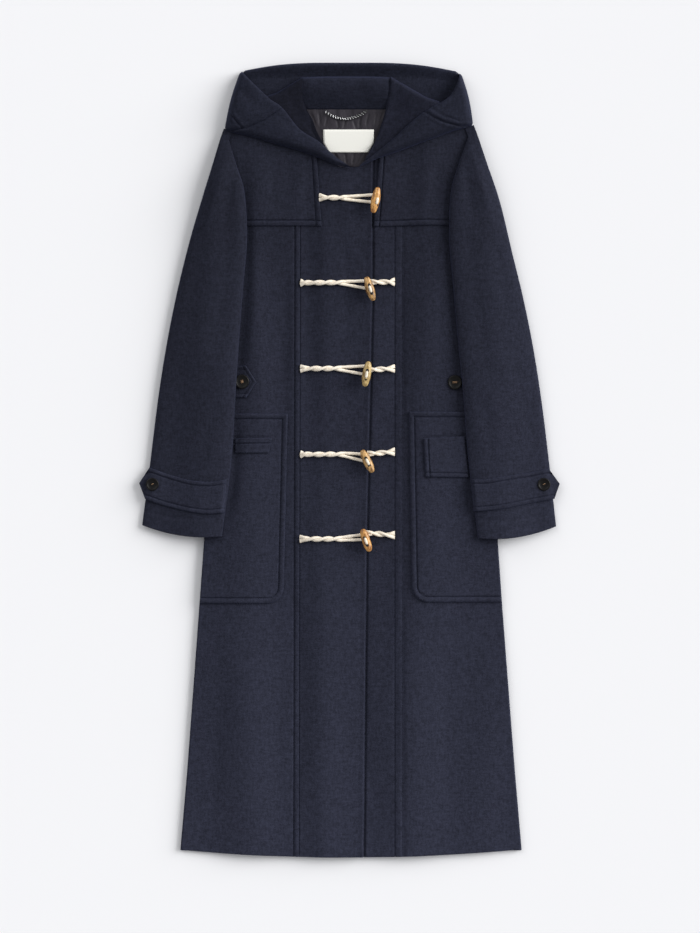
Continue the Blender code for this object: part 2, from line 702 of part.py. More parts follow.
navy = material("navy_melton", (0.018, 0.020, 0.036), 0.9)
lining = material("charcoal_lining", (0.040, 0.036, 0.046), 0.6)
rope = material("cream_cord", (0.78, 0.68, 0.52), 0.85)
wood = material("toggle_wood", (0.36, 0.17, 0.05), 0.45)
horn = material("dark_button", (0.010, 0.009, 0.008), 0.3)
paper = material("label_cloth", (0.78, 0.78, 0.74), 0.8)
steel = material("chain_steel", (0.45, 0.45, 0.46), 0.35, 1.0)

build_body()
build_yokes()
build_pockets()
build_waist()
for sleeve_name, sleeve_rows in (("sleeve_l", SLEEVE_L), ("sleeve_r", SLEEVE_R)):
    build_sleeve(sleeve_name, sleeve_rows)
build_cuffs()
build_hood()
build_neck()
build_toggles()
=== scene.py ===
"""Looks of the navy duffle coat lying flat: cloth shells on the CAD pieces, trims, light and camera."""
import math

import bpy
import numpy as np
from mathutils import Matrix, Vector


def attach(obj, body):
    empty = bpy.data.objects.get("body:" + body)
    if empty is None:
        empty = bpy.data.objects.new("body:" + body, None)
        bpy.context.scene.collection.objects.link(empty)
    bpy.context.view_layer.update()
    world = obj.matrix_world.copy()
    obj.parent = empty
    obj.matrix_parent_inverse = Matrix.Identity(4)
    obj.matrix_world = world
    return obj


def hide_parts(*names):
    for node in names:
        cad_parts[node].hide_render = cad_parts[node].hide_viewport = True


MM = 0.001
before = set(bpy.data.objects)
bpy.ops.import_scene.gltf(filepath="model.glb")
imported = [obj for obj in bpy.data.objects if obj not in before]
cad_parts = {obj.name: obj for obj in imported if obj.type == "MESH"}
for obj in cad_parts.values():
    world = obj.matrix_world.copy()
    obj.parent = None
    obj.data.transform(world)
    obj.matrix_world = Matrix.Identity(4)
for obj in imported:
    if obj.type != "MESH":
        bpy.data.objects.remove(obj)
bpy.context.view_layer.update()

# ------------ sizes (millimetres)
CLOTH = 2.5
SEAM = 0.3
LIFT = 0.5
LINING = 1.5
HEM_SIDE, HEM_MID, HEM_HALF = -624.0, -635.0, 260.0
NECK_Y, NECK_HALF = 560.0, 73.0
SHOULDER_DROP_L, SHOULDER_DROP_R = 0.296, 0.240
HOOD_HALF, HOOD_DEEP, HOOD_WIDE_Y, HOOD_FADE = 196.0, 160.0, 530.0, 0.42
HOOD_TOP = 635.0
STITCH = 8.5           # topstitching, in from an edge
RIM = 1.3              # rounding of a cloth edge
PLAIN = (0, 0, 0, 0)   # a panel without topstitching
DIP = 2.1              # dent of a sheet beside the edge of the sheet that lies on it
TUBE_LOW = 3.5         # height of a sleeve's middle line over what it lies on
NAP = 0.36             # how much lighter and darker the felted wool gets from place to place
SLEEVE_CUT = 0.645     # flat length of a sleeve, in metres
SLEEVE_FILL = 0.86     # share of its flat rectangle that a sleeve fills
STRAND = 2.45          # half width of a strand of cord
TURN = 37.0            # length of one turn of the two strands

# lines down the body: y, x
SIDE_L = ((-635, -269), (-500, -258), (-227, -239), (77, -218), (371, -209), (560, -196))
SEAM_L = ((-635, -79), (-128, -78), (371, -77), (560, -77))
LAP_EDGE = ((-635, -27), (560, -27))
FRONT_EDGE = ((-635, 23), (-128, 28), (256, 37), (560, 38))
SEAM_R = ((-635, 74), (560, 74))
SIDE_R = ((-635, 277), (-500, 266), (-227, 246), (77, 226), (371, 214), (560, 197))
NECKLINE = ((-73, 560), (-62, 528), (-46, 496), (-14, 468), (22, 468), (47, 515), (60, 545), (73, 560))
SLEEVE_L = (((-202, 522), (-193, 518)), ((-217, 472), (-179, 471)), ((-232, 424), (-166, 428)),
            ((-255, 346), (-162, 354)), ((-276, 260), (-168, 280)), ((-292, 178), (-174, 200)),
            ((-305, 94), (-180, 106)), ((-318, -11), (-187, -2)), ((-330, -104), (-202, -122)))
SLEEVE_R = (((203, 528), (194, 523)), ((221, 474), (175, 470)), ((242, 412), (163, 424)),
            ((262, 330), (161, 352)), ((280, 256), (167, 280)), ((296, 176), (174, 200)),
            ((309, 92), (183, 106)), ((322, -14), (192, -4)), ((332, -106), (207, -125)))
COVER = ((-200, 10.4), (165, 10.4), (200, 7.9), (340, 7.6), (374, 9.5), (560, 9.4))
WING_LOW_L = ((-198, 525), (-158, 517), (-122, 506), (-86, 496), (-49, 483), (-20, 471), (4, 467))
WING_FREE_L = ((-173, 621), (-128, 578), (-106, 562), (-78, 528), (-46, 507), (-22, 485), (-2, 471))
WING_LOW_R = ((199, 533), (170, 526), (140, 515), (107, 503), (75, 491), (46, 481), (16, 467))
WING_FREE_R = ((180, 618), (162, 581), (121, 555), (99, 538), (72, 513), (45, 491), (22, 474))
THROAT_FREE_L = ((-128, 579), (-112, 567), (-100, 556), (-88, 538), (-72, 526), (-56, 514), (-42, 498))
THROAT_NECK_L = ((-74, 612), (-74, 592), (-73, 574), (-67, 559), (-58, 543), (-50, 522), (-37, 498))
THROAT_FREE_R = ((140, 571), (121, 556), (108, 545), (90, 529), (72, 515), (50, 500), (30, 481))
THROAT_NECK_R = ((68.6, 612), (66, 592), (62, 572), (59, 555), (52, 533), (42, 506), (25, 478))
# toggles: x, y, lean in degrees, length, share of orange against olive in the wood, tie's shift to the right
TOGGLES = ((43, 414, -11, 42, 0.75, 3.0), (34, 273, 17, 40, 0.35, 0.5), (29, 137, -9, 41, 0.0, 0.0),
           (30, -2, 26, 40, 0.3, 0.0), (28, -128, 18, 38, 1.0, -0.5))
# loops: sewn end x and y, where the strands part, and the heights of both at the toggle
LOOPS = ((-47, 419, -5, 423.5, 411), (-77, 283, -9, 286, 273), (-77, 146, -14, 150, 136),
         (-77, 9, -10, 9, -3), (-78, -126, -14, -118.5, -127))
# cords to the right: height at the sewn end and under the toggle
CORDS = (None, (284.5, 284), (146, 144), (13, 10), (-120, -117))
CORD_END = 74.0
# tabs, pockets and straps
WELT_Y = (11.5, 34.5)
TAB_Y = (99.5, 150.5)
CUFF_OUT_L, CUFF_OUT_R = ((-100, 329), (0, 316)), ((-100, 331), (0, 320))
STRAP_LOW_L = ((-325, -62), (-300, -71), (-274, -78), (-250, -83), (-225, -86), (-201, -84))
STRAP_HIGH_L = ((-318, -12), (-296, -20), (-274, -27), (-250, -33), (-220, -35), (-197, -31))
STRAP_LOW_R = ((329, -62), (300, -67), (275, -72), (250, -77), (225, -80), (203, -82))
STRAP_HIGH_R = ((320, -14), (296, -19), (270, -23), (244, -27), (220, -31), (198, -31))
CUFF_BUTTON_Y = -39.0
WELT_LINE = 26.4
WAIST_BUTTON_L, WAIST_BUTTON_R = (-170.0, 125.0), (170.0, 124.0)


# ------------ shape functions
def ease(t):
    t = np.clip(t, 0.0, 1.0)
    return t * t * (3.0 - 2.0 * t)


def along(table, key):
    rows = np.array(table, dtype=float)
    return np.interp(key, rows[:, 0], rows[:, 1])


def averaged(row, reach):
    """Running mean of a row over reach neighbours on both sides."""
    count = 2 * reach + 1
    return np.convolve(np.pad(row, reach, mode="edge"), np.ones(count) / count, mode="valid")


def smooth_rows(rows, shares):
    """Smooth points at shares 0..1 along evenly spaced rows."""
    rows = np.array(rows, dtype=float)
    place = np.clip(np.asarray(shares, dtype=float), 0, 1) * (len(rows) - 1)
    i = np.minimum(place.astype(int), len(rows) - 2)
    t = (place - i)[:, None]
    a, b = rows[np.maximum(i - 1, 0)], rows[i]
    c, d = rows[i + 1], rows[np.minimum(i + 2, len(rows) - 1)]
    return b + 0.5 * t * (c - a + t * (2 * a - 5 * b + 4 * c - d + t * (3 * (b - c) + d - a)))


def base(x, y):
    """Height of the hood's cloth under the body, which fades out down the back."""
    down = np.maximum(0.0, HOOD_WIDE_Y - y) / HOOD_DEEP
    reach = (np.abs(x / HOOD_HALF) ** 2.5 + down ** 2.5) ** 0.4
    return (CLOTH + SEAM + 0.2) * (1.0 - ease((reach - 1.0) / HOOD_FADE))


def wave(x, y):
    fade = 1.0 - 0.75 * ease((y - 200.0) / 200.0)
    return 1.5 * fade * np.sin(math.pi * (x + 80.0) / 160.0) ** 2


def bump(x, y, cx, cy, rx, ry, lean=0.0):
    c, s = math.cos(math.radians(lean)), math.sin(math.radians(lean))
    u, v = (x - cx) * c + (y - cy) * s, (y - cy) * c - (x - cx) * s
    return np.exp(-(u / rx) ** 2 - (v / ry) ** 2)


def crease(x, y, x0, y0, x1, y1, width, depth):
    """Soft trough (or ridge, for a depth below zero) along a line, fading out at both ends."""
    dx, dy = x1 - x0, y1 - y0
    long = math.hypot(dx, dy)
    s = ((x - x0) * dx + (y - y0) * dy) / long ** 2
    off = ((x - x0) * dy - (y - y0) * dx) / long
    off = off + 0.06 * long * np.sin(math.pi * s) * (0.5 if x0 < 0 else -0.5)
    fade = ease(s / 0.3) * ease((1.0 - s) / 0.35)
    return -depth * fade * np.exp(-(off / width) ** 2)


def relief(x, y, ridges, troughs):
    """Sum of the ridges and troughs of two tables."""
    z = 0.0 * (x + y)
    for x0, y0, wide, long, lean, high in ridges:
        z = z + high * bump(x, y, x0, y0, wide, long, lean)
    for trough in troughs:
        z = z + crease(x, y, *trough)
    return z


# broad ridges of the body: x, y of the middle, half width, half length, lean in degrees, height
RIDGES = ((-162, -450, 54, 260, 3, 12.5), (-50, -420, 42, 380, 0, 8.4), (98, -430, 50, 330, -1, 12.0),
          (222, -500, 34, 200, -4, 4.0), (-150, 215, 23, 170, 3, 7.0), (-84, 150, 20, 190, 2, 4.2),
          (124, 180, 30, 190, -5, 8.4), (-34, 240, 22, 200, -1, 3.6), (40, 100, 24, 260, 0, 2.8),
          (124, 440, 18, 80, -4, 5.0), (-78, 440, 12, 70, 0, 2.4), (-140, 460, 26, 70, 8, 4.0),
          (-6, 400, 14, 70, 2, 2.2), (-160, -90, 42, 150, 2, 6.6), (130, -110, 44, 150, -2, 6.6))
# narrower troughs: from x, y to x, y, width, depth
TROUGHS = ((-169, 488, -180, 93, 9.0, 5.0), (-180, 93, -197, -120, 9.0, 4.5),
           (-92, -150, -90, -610, 11.0, 2.0), (-104, 330, -108, 90, 10.0, 1.8), (92, 340, 82, 60, 10.0, 2.2),
           (-12, 400, -8, 170, 7.0, 1.2), (36, -160, 42, -600, 10.0, 1.4), (86, -240, 90, -600, 8.0, 1.4),
           (146, 480, 136, 395, 8.0, 1.8), (-120, 490, -128, 390, 9.0, 1.4),
           (-206, -300, -226, -600, 14.0, 1.4), (-128, -330, -118, -600, 12.0, 0.8),
           (160, -300, 170, -600, 12.0, 1.0))


def drape(x, y):
    """Soft unevenness of the heavy cloth, shared by everything that lies on the front."""
    z = 1.0 + relief(x, y, RIDGES, TROUGHS)
    z = z + 0.35 * np.sin(x / 31.0 + y / 170.0) * np.sin(y / 97.0 + 1.0)
    z = z + 0.12 * np.sin(x / 9.0 + 2.0 * np.sin(y / 41.0)) * np.sin(y / 17.0 + x / 29.0)
    return np.maximum(z, 0.1)


def front_low(x, y):
    return base(x, y) + CLOTH + SEAM + wave(x, y) + drape(x, y)


def lap(x):
    return (CLOTH + SEAM) * ease((x + 70.0) / 33.0)


def front_top(x, y):
    upper = np.where(x < along(FRONT_EDGE, y) + 2.0, lap(x), 0.0)
    return front_low(x, y) + upper + CLOTH


def shoulder(x):
    return NECK_Y - np.where(x < 0, SHOULDER_DROP_L, SHOULDER_DROP_R) * np.maximum(0.0, np.abs(x) - NECK_HALF)


def front_rim(x):
    return np.where(np.abs(x) < NECK_HALF, along(NECKLINE, x), shoulder(x))


def hem_line(x):
    return HEM_MID + (HEM_SIDE - HEM_MID) * np.clip(np.abs(x) / HEM_HALF, 0, 1) ** 2


def on(table, shift=0.0):
    """The line of a table as x of y."""
    return lambda y: along(table, y) + shift


def level(height):
    return lambda x: height + 0 * x


# ------------ meshes
def put(name, data):
    thing = bpy.data.objects.new(name, data)
    bpy.context.scene.collection.objects.link(thing)
    return thing


def mesh_from(name, points, faces, mat):
    """Smooth mesh from an array of faces with the same number of corners."""
    mesh = bpy.data.meshes.new(name)
    points = np.asarray(points, dtype=np.float32).reshape(-1, 3) * MM
    faces = np.asarray(faces, dtype=np.int32)
    mesh.vertices.add(len(points))
    mesh.vertices.foreach_set("co", points.ravel())
    mesh.loops.add(faces.size)
    mesh.loops.foreach_set("vertex_index", faces.ravel())
    mesh.polygons.add(len(faces))
    mesh.polygons.foreach_set("loop_start", np.arange(0, faces.size, faces.shape[1], dtype=np.int32))
    mesh.polygons.foreach_set("loop_total", np.full(len(faces), faces.shape[1], dtype=np.int32))
    mesh.polygons.foreach_set("use_smooth", np.full(len(faces), True))
    mesh.update(calc_edges=True)
    mesh.validate()
    mesh.materials.append(mat)
    return put(name, mesh)


def mixed_mesh(name, points, faces, mat, smooth=True):
    """Mesh from faces with any number of corners; a corner that repeats counts once."""
    mesh = bpy.data.meshes.new(name)
    clean = [tuple(dict.fromkeys(int(k) for k in face)) for face in faces]
    mesh.from_pydata([tuple(p) for p in np.asarray(points) * MM], [], clean, shade_flat=not smooth)
    mesh.update()
    mesh.materials.append(mat)
    return put(name, mesh)


def quads(rows, cols, start=0, flip=False, wrap=False):
    j = np.arange(cols if wrap else cols - 1)
    i = np.arange(rows - 1)[:, None]
    k = (j + 1) % cols
    a, b = start + i * cols + j, start + i * cols + k
    c, d = b + cols, a + cols
    order = (a, d, c, b) if flip else (a, b, c, d)
    return np.stack(order, axis=-1).reshape(-1, 4)


def shell(name, top, under, mat):
    """Closed shell from two grids of points with the same plan."""
    rows, cols = top.shape[:2]
    size = rows * cols
    number = np.arange(size).reshape(rows, cols)
    loop = np.concatenate((number[0], number[1:, -1], number[-1, -2::-1], number[-2:0:-1, 0]))
    after = np.roll(loop, -1)
    sides = np.stack((loop, after, after + size, loop + size), axis=-1)[:, ::-1]
    faces = np.concatenate((quads(rows, cols), quads(rows, cols, size, flip=True), sides))
    points = np.concatenate((top.reshape(-1, 3), under.reshape(-1, 3)))
    thing = mesh_from(name, points, faces, mat)
    tops = faces[:(rows - 1) * (cols - 1)]
    facing = np.cross(points[tops[:, 2]] - points[tops[:, 0]], points[tops[:, 3]] - points[tops[:, 1]])
    if facing[:, 2].sum() < 0:
        thing.data.flip_normals()
    return thing


# distances from an edge at which a sheet has rows or columns
NEAR = np.array([0.0, 0.3, 0.8, 1.6, 3.0, 5.0, 6.6, 7.5, 8.1, 8.5, 8.9, 9.5, 10.4, 12.0, 15.0])


def spread(middle, small=1.0):
    """Columns or rows bunched at both edges: share of the way and offset in millimetres."""
    near = NEAR * small
    inner = np.arange(1, middle) / middle
    f = np.concatenate((np.zeros(len(near)), inner, np.ones(len(near))))
    a = np.concatenate((near, near[-1] * (1 - 2 * inner), -near[::-1]))
    return f, a


def edge_form(d, stitch, rim=RIM):
    """Height change near an edge at distance d: rounded rim, puffed welt, stitch groove."""
    t = np.clip(d / rim, 0, 1)
    z = -rim * (1.0 - np.sqrt(np.maximum(0.0, 1.0 - (1.0 - t) ** 2)))
    if stitch:
        z = z + 0.7 * np.sin(math.pi * np.clip(d / stitch, 0, 1)) - 1.9 * np.exp(-((d - stitch) / 1.05) ** 2)
    return z


def spread_out(top):
    """Flat cut and area, in metres, of the cloth whose upper side is this grid of points."""
    long_way = float(np.linalg.norm(np.diff(top, axis=0), axis=-1).sum(axis=0).max()) * MM
    wide_way = float(np.linalg.norm(np.diff(top, axis=1), axis=-1).sum(axis=1).max()) * MM
    a = top[1:, 1:] - top[:-1, :-1]
    b = top[1:, :-1] - top[:-1, 1:]
    area = float(np.linalg.norm(np.cross(a, b), axis=-1).sum()) * 0.5 * MM * MM
    cut = (round(wide_way, 4), round(long_way, 4))
    return cut, round(min(max(area, 0.31 * cut[0] * cut[1]), cut[0] * cut[1]), 6)


def declare(thing, node, slot_name, cut=None, area=None):
    """Parent a piece to the root body and hide its CAD node; the flat cut and area of cloth are not used."""
    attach(thing, "root")
    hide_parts(node)


def cloth_sheet(name, node, x, y, upper, under, mat, slot_name="navy"):
    """Closed shell of cloth over the plan grid x, y."""
    top = np.stack((x, y, upper), axis=-1)
    thing = shell(name, top, np.stack((x, y, under), axis=-1), mat)
    declare(thing, node, slot_name, *spread_out(top))


def panel(name, node, mat, left, right, low, high, top_of, thick, stitches, across=24, lengthwise=60,
          slot_name="navy", rims=(RIM, RIM, RIM, RIM), small=(1.0, 1.0)):
    """Cloth panel between left(y), right(y) and low(x), high(x); stitches are for left, right, low, high."""
    fu, au = spread(across, small[0])
    fv, av = spread(lengthwise, small[1])
    mid_x = 0.5 * (left(0.0) + right(0.0))
    y0, y1 = low(mid_x), high(mid_x)
    rough_y = y0 + (y1 - y0) * fv + av
    lx, rx = left(rough_y), right(rough_y)
    x = lx[:, None] * (1 - fu) + rx[:, None] * fu + au
    yl, yh = low(x), high(x)
    y = yl * (1 - fv[:, None]) + yh * fv[:, None] + av[:, None]
    d = (x - lx[:, None], rx[:, None] - x, y - yl, yh - y)
    z = top_of(x, y)
    for dist, stitch, rim in zip(d, stitches, rims):
        z = z + edge_form(dist, stitch, rim)
    under = top_of(x, y) - thick
    cloth_sheet(name, node, x, y, np.maximum(z, under + 0.4), under, mat, slot_name)


# ------------ materials
def set_inputs(node, values):
    for key, value in values.items():
        node.inputs[key].default_value = value


def new_material(name, colour, rough, metal=0.0):
    made = bpy.data.materials.new(name)
    made.use_nodes = True
    shader = made.node_tree.nodes["Principled BSDF"]
    set_inputs(shader, {"Base Color": (*colour, 1.0), "Roughness": rough, "Metallic": metal})
    return made, made.node_tree, shader


def add_node(tree, kind, values, links):
    """Shader node with its input values and the sockets that feed it."""
    made = tree.nodes.new("ShaderNode" + kind)
    set_inputs(made, values)
    for key, source in links.items():
        tree.links.new(source, made.inputs[key])
    return made


def noise(tree, scale, detail=3.0, rough=0.6, stretch=(1.0, 1.0, 1.0)):
    place = add_node(tree, "TexCoord", {}, {}).outputs["Object"]
    sized = add_node(tree, "Mapping", {"Scale": stretch}, {"Vector": place}).outputs["Vector"]
    values = {"Scale": scale, "Detail": detail, "Roughness": rough}
    return add_node(tree, "TexNoise", values, {"Vector": sized}).outputs["Fac"]


def mixed(tree, first, second, share):
    """Blend of two height signals."""
    return add_node(tree, "Mix", {"Factor": share}, {"A": first, "B": second}).outputs["Result"]


def tint(tree, shader, signal, dark, light, low=0.35, high=0.65):
    ramp = add_node(tree, "ValToRGB", {}, {"Fac": signal})
    for stop, position, colour in zip(ramp.color_ramp.elements, (low, high), (dark, light)):
        stop.position = position
        stop.color = (*colour, 1.0)
    tree.links.new(ramp.outputs["Color"], shader.inputs["Base Color"])
    return ramp.outputs["Color"]


def roughen(tree, shader, signal, strength, depth):
    made = add_node(tree, "Bump", {"Strength": strength, "Distance": depth}, {"Height": signal})
    tree.links.new(made.outputs["Normal"], shader.inputs["Normal"])


def painted_light_toward_hem(tree, colour):
    """Painted light: the cloth's colour is made darker at the shoulders and paler toward the hem, where more
    light falls.
    """
    place = add_node(tree, "TexCoord", {}, {}).outputs["Object"]
    parts = add_node(tree, "SeparateXYZ", {}, {"Vector": place})
    span = {"From Min": -0.62, "From Max": 0.50, "To Min": 1.22, "To Max": 0.77}
    factor = add_node(tree, "MapRange", span, {"Value": parts.outputs["Y"]})
    product = add_node(tree, "VectorMath", {}, {0: colour})
    product.operation = "SCALE"
    tree.links.new(factor.outputs["Result"], product.inputs["Scale"])
    return product.outputs["Vector"]


def melton(name, colour, sheen):
    """Felted wool: short streaks along and across the weave, broad faint mottling, bluish nap, and painted
    light that pales the colour toward the hem.
    """
    made, tree, shader = new_material(name, colour, 0.95)
    warp = noise(tree, 300.0, 2.0, 0.6, (1.0, 0.34, 1.0))
    weft = noise(tree, 300.0, 2.0, 0.6, (0.34, 1.0, 1.0))
    weave = mixed(tree, warp, weft, 0.5)
    grain = mixed(tree, weave, noise(tree, 560.0, 1.0), 0.35)
    signal = mixed(tree, grain, noise(tree, 9.0, 2.0, 0.5, (1.0, 0.4, 1.0)), 0.05)
    dark = tuple(c * (1.0 - NAP) for c in colour)
    light = tuple(c * (1.0 + NAP) for c in colour)
    tinted = tint(tree, shader, signal, dark, light, 0.38, 0.62)
    # painted light: the colour is scaled darker at the shoulders and paler toward the hem
    tree.links.new(painted_light_toward_hem(tree, tinted), shader.inputs["Base Color"])
    roughen(tree, shader, grain, 0.40, 0.0008)
    set_inputs(shader, {"Sheen Weight": sheen, "Sheen Roughness": 0.42, "Sheen Tint": (0.34, 0.42, 1.0, 1.0),
                        "Specular IOR Level": 0.12})
    return made


navy = melton("navy_melton", (0.0201, 0.0218, 0.0360), 0.12)
# painted shade: a darker copy of the navy for the left sleeve, which slopes away from the light
painted_shade_navy_left = melton("navy_melton_painted_shade_left", (0.0172, 0.0187, 0.0310), 0.12)
# painted shade: a darker copy of the navy for the folded sides and neck roll of the hood
painted_shade_navy_hood = melton("navy_melton_painted_shade_hood", (0.0172, 0.0191, 0.0328), 0.10)
# painted shade: a darker copy of the navy for the right throat, the inside of the hood that lies in shade
painted_shade_navy_throat = melton("navy_melton_painted_shade_throat", (0.0158, 0.0172, 0.0303), 0.09)
# painted shade: a much darker copy of the navy for the left throat, in the shade of the hood's side
shaded_navy = melton("navy_melton_painted_shade_throat_l", (0.0096, 0.0103, 0.0184), 0.06)
# painted light: a slightly lighter, bluer copy of the navy for the hollow inside the hood, lifting its shade
painted_light_navy_hood_back = melton("navy_melton_painted_light_hood_back", (0.0205, 0.0228, 0.0384), 0.09)

lining, tree, shader = new_material("charcoal_lining", (0.030, 0.026, 0.034), 0.58)
folds = noise(tree, 90.0, 3.0, 0.6, (1.0, 0.35, 1.0))
# painted shade: the same noise that bumps the lining's folds darkens its colour in the low creases
tint(tree, shader, folds, (0.0190, 0.0165, 0.0225), (0.0370, 0.0325, 0.0415))
shader.inputs["Specular IOR Level"].default_value = 0.25
roughen(tree, shader, folds, 0.5, 0.0016)

rope, tree, shader = new_material("cream_cord", (0.90, 0.81, 0.67), 0.85)
yarn = noise(tree, 700.0, 2.0, 0.5, (0.4, 1.0, 1.0))
tint(tree, shader, yarn, (0.80, 0.69, 0.54), (0.97, 0.90, 0.78))
roughen(tree, shader, yarn, 0.5, 0.0005)


def toggle_wood(name, dark, light):
    made, tree, shader = new_material(name, light, 0.36)
    streaks = noise(tree, 330.0, 4.0, 0.65, (1.0, 0.30, 1.0))
    blotch = noise(tree, 120.0, 2.0, 0.5)
    tint(tree, shader, mixed(tree, streaks, blotch, 0.35), dark, light, 0.42, 0.57)
    roughen(tree, shader, streaks, 0.4, 0.0004)
    return made


orange_wood = toggle_wood("toggle_wood_orange", (0.240, 0.090, 0.022), (0.720, 0.380, 0.115))
brown_wood = toggle_wood("toggle_wood_brown", (0.180, 0.085, 0.026), (0.620, 0.370, 0.140))
olive_wood = toggle_wood("toggle_wood_olive", (0.240, 0.145, 0.045), (0.600, 0.440, 0.190))

horn, tree, shader = new_material("dark_button", (0.0030, 0.0026, 0.0025), 0.42)
shader.inputs["Specular IOR Level"].default_value = 0.22
# painted shade: near-black colour for the beads that stand for the shade inside the toggle holes
hole_painted_shade = new_material("hole_painted_shade", (0.008, 0.006, 0.005), 0.8)[0]
thread = new_material("tan_thread", (0.22, 0.13, 0.07), 0.8)[0]
paper = new_material("label_cloth", (0.86, 0.85, 0.79), 0.8)[0]
steel = new_material("chain_steel", (0.55, 0.55, 0.56), 0.28, 1.0)[0]
black = new_material("chain_black", (0.01, 0.01, 0.01), 0.5)[0]

# ------------ body
def back_top(x, y):
    return base(x, y) + CLOTH


def plain_front(x, y):
    return front_low(x, y) + CLOTH


def lapped_top(x, y):
    """The upper front climbs onto the under front, and its free edge lifts a little."""
    lifted = 0.9 * ease((x - along(FRONT_EDGE, y) + 9.0) / 9.0)
    return front_low(x, y) + lap(x) + CLOTH + lifted


def dent(distance, wide=1.6):
    return DIP * np.exp(-(distance / wide) ** 2)


def under_lap(x, y):
    """The under front dips beside the edge that lies on it."""
    return plain_front(x, y) - dent(x - along(FRONT_EDGE, y) - 1.9, 1.9)


panel("cloth_back", "back", navy, on(SIDE_L), on(SIDE_R), hem_line, shoulder, back_top, CLOTH, PLAIN)
panel("cloth_side_front_l", "side_front_l", navy, on(SIDE_L, 1.0), on(SEAM_L, -0.15), hem_line, front_rim,
      plain_front, CLOTH, (0, STITCH, 0, 0), 26, 90)
panel("cloth_centre_front_l", "centre_front_l", navy, on(SEAM_L, 0.15), on(FRONT_EDGE), hem_line, front_rim,
      lapped_top, CLOTH, PLAIN, 22, 90)
panel("cloth_centre_front_r", "centre_front_r", navy, on(LAP_EDGE), on(SEAM_R, -0.15), hem_line, front_rim,
      under_lap, CLOTH, PLAIN, 60, 90)
panel("cloth_side_front_r", "side_front_r", navy, on(SEAM_R, 0.15), on(SIDE_R, -1.0), hem_line, front_rim,
      plain_front, CLOTH, (STITCH + 3.0, 0, 0, 0), 26, 90)

# ------------ yokes
def yoke_top(x, y):
    return front_top(x, y) + LIFT + CLOTH


panel("cloth_yoke_l", "yoke_l", navy, on(SIDE_L, 4.0), lambda y: -43.0 - 5.0 * (y - 374.0) / 100.0,
      lambda x: 374.0 - 1.5 * np.clip((x + 60.0) / 20.0, 0, 1), lambda x: front_rim(x) - 0.5,
      yoke_top, CLOTH, (0, STITCH, STITCH, 0), 26, 30)
panel("cloth_yoke_r", "yoke_r", navy, lambda y: 40.5 + 6.5 * (y - 374.0) / 100.0, on(SIDE_R, -4.0),
      lambda x: 373.0 + 2.0 * np.clip((x - 60.0) / 60.0, 0, 1), lambda x: front_rim(x) - 0.5,
      yoke_top, CLOTH, (STITCH, 0, STITCH, 0), 26, 30)


# ------------ pockets and tabs
def pocket(name, node, outer, inner, top_y, bottom_y, corner, sign, dip):
    """Patch pocket with one round corner; sign is 1 on the left, -1 on the right."""
    fu, au = spread(30)
    fv, av = spread(120)
    y = bottom_y + (top_y - bottom_y) * fv + av
    rise = np.clip(y - bottom_y, 0, corner)
    bite = corner - np.sqrt(np.maximum(0.0, corner ** 2 - (corner - rise) ** 2))
    edge = inner(y) - sign * bite
    ox = outer(y)
    x = ox[:, None] + (edge - ox)[:, None] * fu + sign * au
    yy = y[:, None] + 0 * x
    side = sign * (inner(yy) - x)
    rise2 = yy - bottom_y
    from_corner = corner - np.hypot(np.maximum(corner - side, 0), np.maximum(corner - rise2, 0))
    d = np.where((side < corner) & (rise2 < corner), from_corner, np.minimum(side, rise2))
    d = np.minimum(d, top_y - yy)
    z = yoke_top(x, yy) + edge_form(np.maximum(d, 0), STITCH) + edge_form(sign * (x - ox[:, None]), 0)
    z = z + 0.5 * np.exp(-(((d - 2.5) / 2.0) ** 2)) - dip(x, yy)
    cloth_sheet(name, node, x, yy, z, yoke_top(x, yy) - CLOTH, navy)


def dip_above_welt(x, y):
    return dent(y - WELT_Y[1] - 1.7) * ease((-126.0 - x) / 5.0)


def flap_high(x):
    return 34.0 + 4.0 * (x - 120.0) / 68.0


def dip_above_flap(x, y):
    return dent(y - flap_high(x) - 1.7) * ease((x - 117.0) / 5.0)


pocket("cloth_pocket_l", "pocket_l", on(SIDE_L, 1.5), lambda y: -104.0 + (y + 229.0) * 7.0 / 303.0,
       74.0, -229.0, 26.0, 1.0, dip_above_welt)
pocket("cloth_pocket_r", "pocket_r", on(SIDE_R, -1.5), lambda y: 101.5 - (y + 227.0) * 5.0 / 303.0,
       77.0, -227.0, 26.0, -1.0, dip_above_flap)


def on_pocket(x, y):
    return yoke_top(x, y) + 3.4


def welt_top(x, y):
    slit = 2.2 * np.exp(-((y - WELT_LINE - 0.02 * (x + 150.0)) / 1.25) ** 2)
    return on_pocket(x, y) - slit


panel("cloth_pocket_welt", "pocket_welt_l", navy, level(-181.0),
      lambda y: -127.0 + 4.5 * (y - WELT_Y[0]) / (WELT_Y[1] - WELT_Y[0]), level(WELT_Y[0]), level(WELT_Y[1]),
      welt_top, 2.0, PLAIN, 12, 20, rims=(1, 1, 1, 1), small=(1.0, 0.4))
panel("cloth_pocket_flap", "pocket_flap_r", navy, lambda y: 123.0 - 3.0 * (y + 27.0) / 61.0,
      lambda y: 192.0 - 7.0 * (y + 28.0) / 66.0, lambda x: -27.0 - 1.0 * (x - 120.0) / 68.0, flap_high,
      on_pocket, 3.0, (STITCH * 0.8, 0, STITCH * 0.8, 0), 12, 12)


def tab_tip(y):
    """Blunt point of the waist tab."""
    return -147.0 - 16.5 * np.abs(2.0 * (y - TAB_Y[0]) / (TAB_Y[1] - TAB_Y[0]) - 1.0)


panel("cloth_waist_tab", "waist_tab_l", navy, level(-204.0), tab_tip, level(TAB_Y[0]), level(TAB_Y[1]),
      yoke_top, CLOTH, (0, 6.0, 6.0, 6.0), 12, 14)


